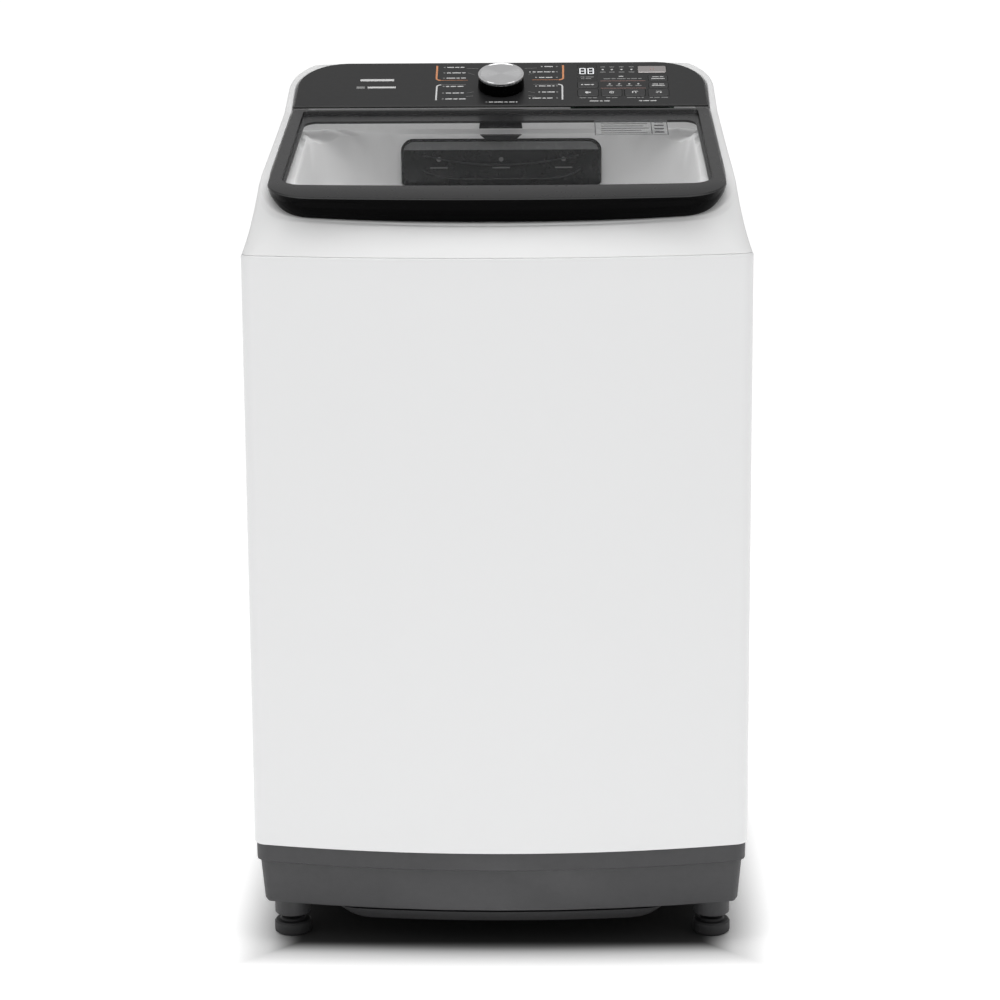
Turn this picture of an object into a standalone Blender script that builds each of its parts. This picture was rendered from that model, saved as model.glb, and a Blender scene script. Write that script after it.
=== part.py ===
"""Top load washing machine, piece by piece.

Metres, +Z up, origin on the floor under the middle of the cabinet.
"""
import math

import bmesh
import bpy
from mathutils import Matrix, Vector

# Overall sizes
WIDTH = 0.590
DEPTH = 0.600
HALF_W = WIDTH / 2
FRONT = -DEPTH / 2
BACK = DEPTH / 2
BOW = 0.405  # the front sheet falls back by BOW * x * x
BASE_BOTTOM = 0.053
BASE_TOP = 0.1297
SEAM = 0.838  # top edge of the cabinet sheet
SHEET = 0.0014
GAP = 0.0003  # stands between pieces that rest on each other
SLIP = 0.0006  # stands around pieces that move in a hole

# Lid plane, panel plane and the hinge between them
PANEL_FRONT = BACK - 0.2345
LID_TILT = math.radians(12.15)
LID_FRONT = FRONT + 0.0134
LID_FRONT_Z = SEAM + 0.0672
LID_REAR = PANEL_FRONT - 0.0080
LID_HALF = HALF_W - 0.0338
LID_FLARE = 0.0036  # the lid is this much wider at its front corners
LIP_DROP = 0.0324  # the rim falls by this much under the lid's front lip
RIM_HALF = HALF_W - 0.0210
HINGE_Y = PANEL_FRONT - 0.0195
HINGE_DROP = 0.010
PANEL_TILT = math.radians(23.4)
PANEL_LENGTH = 0.119
PANEL_HALF = HALF_W - 0.0343
PANEL_THICK = 0.004
PANEL_RISE = 0.0022
COVER_THICK = 0.0026

# Drum group
TUB_R = min(HALF_W - 0.0410, BACK - 0.0460)
TUB_BOTTOM = 0.262
TUB_TOP = SEAM - 0.038
BASKET_R = TUB_R - 0.018
BASKET_BOTTOM = 0.292
BASKET_TOP = TUB_TOP - 0.014
SHAFT_R = 0.008
ROD_X, ROD_FRONT, ROD_BACK = HALF_W - 0.059, FRONT + 0.088, BACK - 0.064
ROD_R = 0.003
LUG_Z = 0.318
CUP_Z = 0.205
HANGER_Z = SEAM - 0.048  # the rods hang from plates at this height
MOTOR_X, MOTOR_Y = -0.160, 0.060
PULLEY_Z = 0.142
PULLEY_R = 0.088
MOTOR_PULLEY_R = 0.0176
BRACKET_HALF = 0.062
PUMP_X, PUMP_R = 0.140, 0.034
PUMP_Y = BRACKET_HALF + PUMP_R + 0.009  # the pump hangs just behind the bracket

# Feet, knob, keys, drawer
FOOT_X, FOOT_FRONT, FOOT_BACK = HALF_W - 0.040, FRONT + 0.090, BACK - 0.065
FOOT_R = 0.0225
KNOB_R, KNOB_V, KNOB_H = 0.0295, 0.0505, 0.020
PANEL_FRONT_Z = LID_FRONT_Z + (PANEL_FRONT - LID_FRONT) * math.tan(LID_TILT)
DRAWER_HALF, DRAWER_BOTTOM, DRAWER_TOP = HALF_W - 0.169, SEAM + 0.042, PANEL_FRONT_Z - 0.0430
DRAWER_FRONT, DRAWER_BACK = PANEL_FRONT + 0.0165, PANEL_FRONT + 0.1305
FITTING_Z = SEAM - 0.068  # water inlet and cord, on the rear sheet
INLET_X, CORD_X = 0.120, -0.190
OUTLET_X, OUTLET_Z = -0.150, 0.235

WHITE = ((0.80, 0.80, 0.79), 0.35, 0.0)
SHEET_WHITE = ((0.82, 0.82, 0.82), 0.30, 0.0)
BLACK = ((0.012, 0.012, 0.013), 0.25, 0.0)
GREY = ((0.07, 0.07, 0.075), 0.55, 0.0)
PLASTIC = ((0.62, 0.62, 0.60), 0.45, 0.0)
STEEL = ((0.62, 0.62, 0.63), 0.28, 1.0)
ZINC = ((0.45, 0.46, 0.47), 0.42, 1.0)
RUBBER = ((0.02, 0.02, 0.02), 0.80, 0.0)
SMOKE = ((0.10, 0.11, 0.12), 0.20, 0.0)
GLASS = ((0.55, 0.60, 0.62), 0.05, 0.0)
CASTING = ((0.50, 0.50, 0.50), 0.50, 0.8)
BOARD = ((0.04, 0.16, 0.07), 0.60, 0.0)


def clear():
    for obj in list(bpy.data.objects):
        bpy.data.objects.remove(obj, do_unlink=True)


def blend(t):
    """Smooth step from 0 to 1."""
    t = min(max(t, 0.0), 1.0)
    return t * t * (3 - 2 * t)


# ---------------------------------------------------------------- shapes as (points, faces)


def loft(rings, closed=False):
    """Joins rings of equal count. The last ring meets the first when closed, else both ends are capped."""
    count = len(rings[0])
    faces = []
    for i in range(len(rings) if closed else len(rings) - 1):
        a, b = i * count, (i + 1) % len(rings) * count
        for k in range(count):
            m = (k + 1) % count
            faces.append((a + k, a + m, b + m, b + k))
    if not closed:
        last = (len(rings) - 1) * count
        faces += [tuple(range(count)), tuple(range(last, last + count))]
    return [Vector(p) for ring in rings for p in ring], faces


def lathe(profile, segments, centre=(0, 0)):
    """Turns a closed (radius, height) profile about a vertical axis."""
    points, index = [], []
    for r, z in profile:
        if r < 1e-6:
            index.append([len(points)] * segments)
            points.append(Vector((centre[0], centre[1], z)))
            continue
        index.append([len(points) + k for k in range(segments)])
        for k in range(segments):
            angle = 2 * math.pi * k / segments
            points.append(Vector((centre[0] + r * math.cos(angle), centre[1] + r * math.sin(angle), z)))
    faces = []
    for i, ring in enumerate(index):
        after = index[(i + 1) % len(index)]
        for k in range(segments):
            m = (k + 1) % segments
            face = []
            for v in (ring[k], ring[m], after[m], after[k]):
                if v not in face:
                    face.append(v)
            if len(face) > 2:
                faces.append(tuple(face))
    return points, faces


def drum(r, z0, z1, segments, chamfer=0.0, centre=(0, 0)):
    """A solid cylinder, chamfered at both ends when asked."""
    if chamfer:
        side = [(r - chamfer, z0), (r, z0 + chamfer), (r, z1 - chamfer), (r - chamfer, z1)]
        profile = [(0, z0), *side, (0, z1)]
    else:
        profile = [(0, z0), (r, z0), (r, z1), (0, z1)]
    return lathe(profile, segments, centre)


def slab(low, high, bevel=0.0):
    """A box between two corners, with all its edges bevelled when asked."""
    bm = bmesh.new()
    bmesh.ops.create_cube(bm, size=1.0)
    for vert in bm.verts:
        vert.co = Vector([low[i] + (vert.co[i] + 0.5) * (high[i] - low[i]) for i in range(3)])
    if bevel:
        bmesh.ops.bevel(bm, geom=bm.edges[:], offset=bevel, segments=1, affect="EDGES")
    bm.verts.index_update()
    shape = [v.co.copy() for v in bm.verts], [tuple(v.index for v in f.verts) for f in bm.faces]
    bm.free()
    return shape


def sweep(path, section, closed=False):
    """Carries a flat section, given as (side, up) offsets, along a path. Up stays close to +Z."""
    rings = []
    count = len(path)
    for i, point in enumerate(path):
        before = path[i - 1] if i or closed else point
        after = path[(i + 1) % count] if i < count - 1 or closed else point
        along = (Vector(after) - Vector(before)).normalized()
        side = along.cross(Vector((0, 0, 1)))
        if side.length < 0.05:
            side = Vector((1, 0, 0))
        side.normalize()
        up = side.cross(along)
        rings.append([Vector(point) + side * s + up * u for s, u in section])
    return loft(rings, closed)


def circle(r, count):
    angles = [2 * math.pi * k / count for k in range(count)]
    return [(r * math.cos(angle), r * math.sin(angle)) for angle in angles]


def moved(shape, matrix):
    return [matrix @ p for p in shape[0]], shape[1]


def merged(*shapes):
    points, faces = [], []
    for shape in shapes:
        start = len(points)
        points += shape[0]
        faces += [tuple(i + start for i in face) for face in shape[1]]
    return points, faces


# ---------------------------------------------------------------- objects


def material(name, colour, rough, metal):
    made = bpy.data.materials.new(name)
    made.use_nodes = True
    shader = made.node_tree.nodes["Principled BSDF"]
    shader.inputs["Base Color"].default_value = (*colour, 1.0)
    shader.inputs["Roughness"].default_value = rough
    shader.inputs["Metallic"].default_value = metal
    return made


def make(name, shape, look=None, origin=(0, 0, 0), tilt=0.0, sharp=32):
    """Adds one object. Its points come in world space and are kept relative to its origin and tilt."""
    frame = Matrix.Translation(origin) @ Matrix.Rotation(tilt, 4, "X")
    inverse = frame.inverted()
    mesh = bpy.data.meshes.new(name)
    mesh.from_pydata([inverse @ p for p in shape[0]], [], shape[1])
    bm = bmesh.new()
    bm.from_mesh(mesh)
    bmesh.ops.recalc_face_normals(bm, faces=bm.faces[:])
    bm.to_mesh(mesh)
    bm.free()
    mesh.shade_smooth()
    mesh.set_sharp_from_angle(angle=math.radians(sharp))
    obj = bpy.data.objects.new(name, mesh)
    bpy.context.scene.collection.objects.link(obj)
    obj.location = origin
    obj.rotation_euler = (tilt, 0, 0)
    if look:
        mesh.materials.append(material(name, *look))
    return obj


def combine(obj, shape, operation):
    """Adds or removes a helper shape, which stays in the file as a hidden wire object."""
    helper = make(f"{obj.name}_{operation.lower()}_{len(obj.modifiers)}", shape)
    helper.hide_render = True
    helper.display_type = "WIRE"
    modifier = obj.modifiers.new(operation.lower(), "BOOLEAN")
    modifier.operation = operation
    modifier.solver = "EXACT"
    modifier.object = helper
    return obj


def cut(obj, *shapes):
    return combine(obj, merged(*shapes), "DIFFERENCE")


def add(obj, *shapes):
    return combine(obj, merged(*shapes), "UNION")


# ---------------------------------------------------------------- outlines in plan


def plan(half, front, back, r_front, r_back, bow=BOW, front_steps=8, turn=4, sides=()):
    """Outline with a bowed front, straight sides and a flat back, anticlockwise from the front's left end."""
    x_end = half - r_front
    for _ in range(4):
        lean = math.atan(2 * bow * x_end)
        x_end = half - r_front * (1 - math.sin(lean))
    cx, cy = half - r_front, front + bow * x_end**2 + r_front * math.cos(lean)
    right = []
    for k in range(1, turn + 1):
        angle = -math.pi / 2 + lean + (math.pi / 2 - lean) * k / turn
        right.append((cx + r_front * math.cos(angle), cy + r_front * math.sin(angle)))
    top = back - r_back
    right += [(half, cy + (top - cy) * s) for s in sides]
    for k in range(turn + 1):
        angle = math.pi / 2 * k / turn
        right.append((half - r_back + r_back * math.cos(angle), top + r_back * math.sin(angle)))
    nose = [x_end * (2 * k / front_steps - 1) for k in range(front_steps + 1)]
    return [(x, front + bow * x * x) for x in nose] + right + [(-x, y) for x, y in reversed(right)]


def level(outline, z):
    return [(x, y, z) for x, y in outline]


def inset_plan(inset, r=0.018, r_back=0.020, **more):
    turns = max(r - inset, 0.004), max(r_back - inset, 0.004)
    return plan(HALF_W - inset, FRONT + inset, BACK - inset, *turns, **more)


# ---------------------------------------------------------------- lid and panel planes


def lid_z(y):
    return LID_FRONT_Z + (y - LID_FRONT) * math.tan(LID_TILT)


def panel_matrix():
    """Maps (across, up the panel, out of it) to world space."""
    return Matrix.Translation((0, PANEL_FRONT, lid_z(PANEL_FRONT) - 0.0005 + PANEL_RISE)) @ Matrix.Rotation(
        PANEL_TILT, 4, "X"
    )


PANEL = panel_matrix()
PANEL_TOP_Y = (PANEL @ Vector((0, PANEL_LENGTH, 0))).y
RIDGE_Y = PANEL_TOP_Y + 0.012
HINGE = (0.0, HINGE_Y, lid_z(HINGE_Y) - HINGE_DROP)


def panel_z(y):
    return PANEL.translation.z + (y - PANEL_FRONT) * math.tan(PANEL_TILT)


def rim_z(y):
    """Height of the white rim around the lid and the panel."""
    if y < PANEL_FRONT:
        return lid_z(y) - 0.003 - LIP_DROP * blend((FRONT + 0.125 - y) / 0.100)
    return min(panel_z(y) - 0.003, panel_z(PANEL_TOP_Y) - 0.0025)


def flank(z):
    """Half width of the white cover at a height: it leans in, quickly at first."""
    h = max(z - SEAM, 0.0)
    return HALF_W - 0.0012 - 0.0235 * (1 - math.exp(-h / 0.070)) - 0.012 * h


SIDES = (0.2, 0.4, 0.6, 0.74, 0.844, 0.92)
TURN = 4
QUARTER = Matrix.Rotation(-math.pi / 2, 4, "X")  # turns +Z to +Y


def top_outline(inset):
    """Outline of the rim, drawn in by an inset."""
    return plan(
        RIM_HALF - inset,
        FRONT + 0.030 + inset,
        RIDGE_Y + 0.006 - inset,
        max(0.060 - inset, 0.02),
        max(0.072 - inset, 0.02),
        bow=0.30,
        sides=SIDES,
        turn=TURN,
    )


def rim_ring(inset, drop):
    """A ring on the rim, as wide as the flank at that height allows."""
    ring = []
    for x, y in top_outline(inset):
        z = rim_z(y)
        wide = (flank(z) - inset) / (RIM_HALF - inset)
        ring.append((x * wide, y, z - drop))
    return ring


def flank_ring(t):
    """A ring on the cover's outside, from the seam at 0 to the rim at 1."""
    base = plan(HALF_W - 0.0012, FRONT + 0.0012, BACK - 0.0012, 0.018, 0.020, sides=SIDES, turn=TURN)
    ring = []
    for (xb, yb), (xt, yt, zt) in zip(base, rim_ring(0.0, 0.0)):
        z = SEAM + 0.0005 + (zt - SEAM - 0.0005) * t
        half_b = HALF_W - 0.0012
        across = xb / half_b + (xt / flank(zt) - xb / half_b) * t
        bulge = t if yb < 0.05 else t + (t * t - t) * blend((yb - 0.05) / 0.2)
        ring.append((across * flank(z), yb + (yt - yb) * bulge, z))
    return ring


def flare_at(y):
    """How much wider the lid and its well are here than at the hinge."""
    return LID_FLARE * min(max((HINGE_Y + 0.004 - y) / 0.28, 0.0), 1.0)


def seat_outline():
    """Outline of the well that the lid and the panel drop into."""
    half = LID_HALF + 0.0011
    ring = []
    outline = plan(half, FRONT + 0.0385, RIDGE_Y - 0.0075, 0.052, 0.0635, bow=0.30, sides=SIDES, turn=TURN)
    for x, y in outline:
        ring.append((x * (half + flare_at(y)) / half, y))
    return ring


def well_z(y):
    """Floor of the well: deeper behind the hinge, where the lid's rear edge swings down."""
    if y < PANEL_FRONT - 0.012:
        return rim_z(y) - 0.0135 - 0.0115 * blend((y - PANEL_FRONT + 0.0600) / 0.03)
    return min(rim_z(y), panel_z(y) - 0.003) - 0.0275 - 0.0180 * blend((y - PANEL_FRONT - 0.001) / 0.045)


# ---------------------------------------------------------------- cabinet, base, feet


def build_cabinet():
    def wall(z):
        sides = {}
        for name, inset in (("outer", 0.0), ("inner", SHEET)):
            ring = inset_plan(inset)
            start = 9 + 4 + 5  # first point of the left rear corner, after the front and the right side
            path = ring[start:] + ring[:start]
            y = BACK - inset
            sides[name] = [(-HALF_W + 0.036, y)] + path + [(HALF_W - 0.036, y)]
        return level(sides["outer"] + sides["inner"][::-1], z)

    shell = make("cabinet_shell", loft([wall(BASE_TOP + GAP), wall(SEAM)]), SHEET_WHITE)
    plates, holes = [], []
    for x in (-ROD_X, ROD_X):
        for y in (ROD_FRONT, ROD_BACK):
            side = math.copysign(1, x)
            xs = sorted((side * (HALF_W - 0.0007), side * (ROD_X - 0.024)))
            plates.append(slab((xs[0], y - 0.030, HANGER_Z), (xs[1], y + 0.030, HANGER_Z + 0.004)))
            holes.append(drum(ROD_R + 0.0012, HANGER_Z - 0.005, HANGER_Z + 0.010, 12, centre=(x, y)))
    add(shell, *plates)
    cut(shell, *holes)

    panel_half = HALF_W - 0.0225

    def sheet_ring(y, half, z0, z1, r=0.012):
        points = []
        for cx, cz, start in (
            (half - r, z1 - r, 0.0),
            (-half + r, z1 - r, 0.5),
            (-half + r, z0 + r, 1.0),
            (half - r, z0 + r, 1.5),
        ):
            for k in range(3):
                angle = math.pi * (start + k / 4)
                points.append((cx + r * math.cos(angle), y, cz + r * math.sin(angle)))
        return points

    outside = BACK - SHEET - GAP
    inside = outside - SHEET
    low, high = BASE_TOP + 0.002, SEAM - 0.0015
    sheet = make(
        "rear_panel",
        loft(
            [
                sheet_ring(inside - 0.012, panel_half - 0.036, low + 0.055, high - 0.022),
                sheet_ring(inside, panel_half - 0.026, low + 0.045, high - 0.012),
                sheet_ring(inside, panel_half, low, high, 0.004),
                sheet_ring(outside, panel_half, low, high, 0.004),
                sheet_ring(outside, panel_half - 0.027, low + 0.046, high - 0.013),
                sheet_ring(outside - 0.012, panel_half - 0.037, low + 0.056, high - 0.023),
            ]
        ),
        ZINC,
    )
    tunnels = [
        moved(drum(r, -0.02, 0.02, 20), Matrix.Translation((x, outside - 0.012, z)) @ QUARTER)
        for r, x, z in (
            (0.0135, INLET_X, FITTING_Z),
            (0.0175, OUTLET_X, OUTLET_Z),
            (0.0080, CORD_X, FITTING_Z),
        )
    ]
    cut(sheet, *tunnels)


def build_base():
    rings = [
        (0.0022, BASE_TOP),
        (0.0026, 0.1090),
        (0.0068, 0.1068),
        (0.0112, 0.0590),
        (0.0142, 0.0545),
        (0.0190, BASE_BOTTOM),
        (0.0420, BASE_BOTTOM),
        (0.0420, 0.0560),
        (0.0160, 0.0575),
        (0.0100, 0.1050),
        (0.0062, 0.1268),
        (0.0420, 0.1268),
        (0.0420, BASE_TOP),
    ]
    levels = [level(inset_plan(inset, 0.020, 0.024, turn=3), z) for inset, z in rings]
    base = make("base_frame", loft(levels, closed=True), GREY)
    pads, bores = [], []
    for x in (-FOOT_X, FOOT_X):
        for y in (FOOT_FRONT, FOOT_BACK):
            side = math.copysign(1, x)
            xs = sorted((side * (FOOT_X + 0.0245), side * (FOOT_X - 0.0350)))
            reach = (y - 0.030, y + 0.043)
            pads.append(slab((xs[0], reach[0], BASE_BOTTOM + 0.0004), (xs[1], reach[1], 0.0590)))
            pads.append(drum(FOOT_R - 0.0007, 0.0250, 0.0640, 18, 0.0010, (x, y)))
            bores.append(drum(0.0050 + SLIP, 0.020, 0.070, 12, centre=(x, y)))
    add(base, *pads).modifiers[-1].use_self = True
    cut(base, *bores)

    def tray(inset, z):
        half, front, back = HALF_W - 0.090 - inset, FRONT + 0.014 + inset, BACK - 0.038 - inset
        return level(plan(half, front, back, 0.040, 0.040), z)

    section = (
        (0.0230, 0.0368),
        (0.0180, 0.0385),
        (0.0030, 0.0525),
        (0.0, 0.0525),
        (0.0155, 0.0362),
        (0.0225, 0.0340),
    )
    make("base_tray", loft([tray(inset, z) for inset, z in section]), GREY)


def foot_shape(x, y):
    profile = [
        (0, 0), (FOOT_R - 0.0025, 0), (FOOT_R, 0.0020), (FOOT_R, 0.0135), (FOOT_R - 0.0020, 0.0158),
        (0.0160, 0.0165), (0.0140, 0.0188), (0.0050, 0.0192), (0.0050, 0.0820), (0.0040, 0.0830), (0, 0.0830),
    ]  # fmt: skip
    return lathe(profile, 16, (x, y))


def build_feet():
    for side, x in (("left", -FOOT_X), ("right", FOOT_X)):
        make(f"foot_front_{side}", foot_shape(x, FOOT_FRONT), RUBBER, (x, FOOT_FRONT, 0))
        make(f"foot_rear_{side}", foot_shape(x, FOOT_BACK), RUBBER, (x, FOOT_BACK, 0))


# ---------------------------------------------------------------- white cover


def build_cover():
    rings = [flank_ring(t) for t in (0.0, 0.2, 0.42, 0.66, 0.88)]
    rings.append(rim_ring(0.0008, 0.0012))
    rings.append(rim_ring(0.0035, 0.0))
    seat = seat_outline()
    rings.append([(x, y, rim_z(y) - 0.0008) for x, y in seat])

    rings.append([(x * 0.998, y, well_z(y)) for x, y in seat])

    def mouth(half, front, back, r_front, r_back, bow, z_of):
        outline = plan(half, front, back, r_front, r_back, bow=bow, sides=SIDES, turn=TURN)
        return [(x, y, z_of(y)) for x, y in outline]

    def ledge(y):
        return well_z(y) - 0.0012 if y < PANEL_FRONT - 0.012 else well_z(PANEL_FRONT)

    def knee(y):
        return ledge(y) - 0.007

    rings.append(mouth(HALF_W - 0.057, FRONT + 0.064, PANEL_FRONT + 0.010, 0.060, 0.060, 0.25, ledge))
    rings.append(mouth(HALF_W - 0.059, FRONT + 0.068, PANEL_FRONT + 0.022, 0.075, 0.110, 0.25, knee))
    rings.append(
        mouth(HALF_W - 0.070, FRONT + 0.080, PANEL_FRONT + 0.030, 0.120, 0.140, 0.10, lambda y: SEAM + 0.024)
    )
    rings.append(
        mouth(HALF_W - 0.095, FRONT + 0.112, PANEL_FRONT + 0.034, 0.150, 0.120, 0.05, lambda y: SEAM + 0.010)
    )
    points, faces = loft(rings)
    cover = make("top_cover", (points, faces[:-2]), WHITE, sharp=38)
    bm = bmesh.new()
    bm.from_mesh(cover.data)
    bmesh.ops.recalc_face_normals(bm, faces=bm.faces[:])
    if sum(f.normal.z * f.calc_area() for f in bm.faces) < 0:
        bmesh.ops.reverse_faces(bm, faces=bm.faces[:])
    bm.to_mesh(cover.data)
    bm.free()
    thick = cover.modifiers.new("thick", "SOLIDIFY")
    thick.thickness = COVER_THICK
    thick.offset = -1
    thick.use_rim = True
    return cover


def cut_cover(cover):
    """Windows for the drawer and the water chute, and the two hinge holes."""
    cut(
        cover,
        slab(
            (-DRAWER_HALF - 0.003, DRAWER_FRONT - 0.020, DRAWER_BOTTOM - 0.003),
            (DRAWER_HALF + 0.003, DRAWER_FRONT + 0.034, DRAWER_TOP + 0.003),
        ),
    )
    near, far = LID_HALF - 0.0092, LID_HALF + 0.0088
    cut(cover, pin_shape(PIN_R + 0.0004, near, far), pin_shape(PIN_R + 0.0004, -far, -near))


def build_dispenser():
    """The housing hangs behind the window; its mouth faces the front."""
    h, b, t = DRAWER_HALF, DRAWER_BOTTOM, DRAWER_TOP
    housing = make(
        "dispenser_housing",
        slab((-h - 0.0026, DRAWER_FRONT + 0.008, b - 0.0026), (h + 0.0026, DRAWER_BACK + 0.004, t + 0.0024)),
        PLASTIC,
    )
    cut(
        housing,
        slab((-h - SLIP, DRAWER_FRONT - 0.01, b - SLIP), (h + SLIP, DRAWER_BACK + 0.0012, t + SLIP)),
    )
    drawer = make("dispenser_drawer", slab((-h, DRAWER_FRONT, b), (h, DRAWER_BACK, t), 0.0012), SMOKE)
    floor = b + 0.0024
    cells = [
        slab((x0, DRAWER_FRONT + 0.010, floor), (x1, DRAWER_BACK - 0.0030, t + 0.01))
        for x0, x1 in ((-h + 0.003, -0.0435), (-0.0405, 0.0405), (0.0435, h - 0.003))
    ]
    cut(drawer, *cells)
    grip = slab((-0.034, DRAWER_FRONT - 0.01, b + 0.012), (0.034, DRAWER_FRONT + 0.0065, b + 0.026), 0.001)
    cut(drawer, grip)


def build_chute():
    """Spreads the incoming water: a shallow trapezoid between the ledge and the drawer."""
    y0, y1 = PANEL_FRONT - 0.006, PANEL_FRONT + 0.016
    top = well_z(PANEL_FRONT - 0.0125) - 0.0012 - COVER_THICK - 2 * SLIP
    low = DRAWER_TOP + 2 * SLIP

    def ring(y, half):
        return [(-half * 0.7, y, low), (half * 0.7, y, low), (half, y, top), (-half, y, top)]

    make("water_chute", loft([ring(y0, 0.025), ring(y1, 0.027)]), RUBBER)


# ---------------------------------------------------------------- panel, knob and keys


def on_panel(shape):
    return moved(shape, PANEL)


ACROSS = PANEL_HALF / 0.2607  # the keys spread with the panel's width
KEY_SPOTS = {
    "key_1": (0.0975, 0.0240, 0.1232, 0.0420),
    "key_2": (0.1272, 0.0240, 0.1529, 0.0420),
    "key_3": (0.1568, 0.0240, 0.1825, 0.0420),
    "key_4": (0.1865, 0.0240, 0.2122, 0.0420),
    "key_left": (0.0975, 0.0465, 0.1232, 0.0622),
    "key_right_low": (0.1878, 0.0458, 0.2120, 0.0586),
    "key_right_high": (0.1878, 0.0652, 0.2120, 0.0790),
    "key_bar": (0.1750, 0.0880, 0.2110, 0.1055),
}
KEYS = {name: (x0 * ACROSS, y0, x1 * ACROSS, y1) for name, (x0, y0, x1, y1) in KEY_SPOTS.items()}
DISPLAY = (0.0975 * ACROSS, 0.0662, 0.1222 * ACROSS, 0.1098)


def rounded(low, high, r, z, turn=2):
    (x0, y0), (x1, y1) = low, high
    points = []
    corners = ((x1 - r, y1 - r, 0.0), (x0 + r, y1 - r, 0.5), (x0 + r, y0 + r, 1.0), (x1 - r, y0 + r, 1.5))
    for cx, cy, start in corners:
        for k in range(turn + 1):
            angle = math.pi * (start + k / turn / 2)
            points.append((cx + r * math.cos(angle), cy + r * math.sin(angle), z))
    return points


def tile(box, z0, z1, r=0.0015, grow=0.0):
    x0, y0, x1, y1 = box
    low, high = (x0 - grow, y0 - grow), (x1 + grow, y1 + grow)
    return loft([rounded(low, high, r, z0), rounded(low, high, r, z1)])


def build_panel():
    def outline(inset, z):
        half, top = PANEL_HALF - inset, PANEL_LENGTH - inset
        ring = [(-half, inset, z), (half, inset, z)]
        r = 0.060 - inset
        corner = []
        for k in range(9):
            angle = math.pi / 2 * k / 8
            lean = 0.0027 * (top - r + r * math.sin(angle)) / top
            corner.append((half - r + r * math.cos(angle) - lean, top - r + r * math.sin(angle), z))
        return ring + corner + [(-x, v, z) for x, v, _ in corner[::-1]]

    t = PANEL_THICK
    panel = make(
        "control_panel",
        on_panel(
            loft([outline(0.0022, -t), outline(0.0, -t + 0.001), outline(0.0, -0.0014), outline(0.0016, 0.0)])
        ),
        BLACK,
    )
    holes = [tile(box, -t - 0.002, 0.002, 0.002, SLIP) for box in KEYS.values()]
    holes.append(tile(DISPLAY, -t - 0.002, 0.002, 0.0012, GAP))
    holes.append(moved(drum(0.0050 + SLIP, -0.01, 0.01, 16), Matrix.Translation((0, KNOB_V, 0))))
    cut(panel, *[on_panel(hole) for hole in holes])
    make("display_window", on_panel(tile(DISPLAY, -t, -0.0001, 0.0009)), SMOKE, PANEL.translation, PANEL_TILT)
    for name, box in KEYS.items():
        x0, y0, x1, y1 = box
        centre = PANEL @ Vector(((x0 + x1) / 2, (y0 + y1) / 2, 0))
        low, high = (x0, y0), (x1, y1)
        cap = loft(
            [
                rounded(low, high, 0.0015, -t - 0.0010),
                rounded(low, high, 0.0015, 0.0001),
                rounded((x0 + 0.0005, y0 + 0.0005), (x1 - 0.0005, y1 - 0.0005), 0.0012, 0.0005),
            ]
        )
        make(name, on_panel(cap), STEEL if name == "key_bar" else BLACK, centre, PANEL_TILT)
    left, right = DISPLAY[0] - 0.0095, KEYS["key_4"][2] + 0.0038
    board = make("control_board", on_panel(slab((left, 0.016, -0.0180), (right, 0.104, -0.0164))), BOARD)
    posts = []
    for x in (left + 0.0010, right - 0.0025):
        for v in (0.0170, 0.0985):
            posts.append(slab((x, v, -0.0170), (x + 0.005, v + 0.005, -t - GAP)))
    middle = (left + right) / 2
    posts.append(slab((middle - 0.020, 0.068, -0.0170), (middle + 0.013, 0.090, -0.0130)))
    add(board, *[on_panel(post) for post in posts])


def build_knob():
    spot = Matrix.Translation((0, KNOB_V, 0))
    centre = PANEL @ Vector((0, KNOB_V, 0))
    lift = 0.0005
    profile = [
        (0, -0.0120), (0.0040, -0.0120), (0.0050, -0.0110), (0.0050, lift),
        (KNOB_R - 0.0006, lift), (KNOB_R, 0.0012),
        (KNOB_R - 0.0014, KNOB_H - 0.0060), (KNOB_R - 0.0026, KNOB_H - 0.0054), (0.0180, KNOB_H - 0.0054),
        (0.0180, KNOB_H - 0.0080), (0, KNOB_H - 0.0080),
    ]  # fmt: skip
    make("knob_body", on_panel(moved(lathe(profile, 32), spot)), BLACK, centre, PANEL_TILT)
    top = KNOB_H
    cap = [
        (0, top - 0.0076), (0.0176, top - 0.0076), (0.0176, top - 0.0051), (KNOB_R - 0.0016, top - 0.0051),
        (KNOB_R - 0.0004, top - 0.0042), (KNOB_R - 0.0004, top - 0.0016), (KNOB_R - 0.0020, top - 0.0002),
        (KNOB_R - 0.0034, top - 0.0006), (0, top - 0.0009),
    ]  # fmt: skip
    make("knob_cap", on_panel(moved(lathe(cap, 32), spot)), STEEL, centre, PANEL_TILT)


# ---------------------------------------------------------------- lid


PIN_R = 0.0034


def pin_shape(r, x0, x1, chamfer=0.0):
    turn = Matrix.Translation((0, HINGE[1], HINGE[2])) @ Matrix.Rotation(math.pi / 2, 4, "Y")
    return moved(drum(r, x0, x1, 12, chamfer), turn)


def lid_outline(inset, front, rear, r_front, r_rear, bow=0.156):
    ring = []
    shape = {"bow": bow, "sides": SIDES, "turn": TURN + 1, "front_steps": 10}
    outline = plan(LID_HALF - inset, front, rear, r_front, r_rear, **shape)
    for x, y in outline:
        ring.append((x * (1 + flare_at(y) / (LID_HALF - inset)), y))
    return ring


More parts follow.
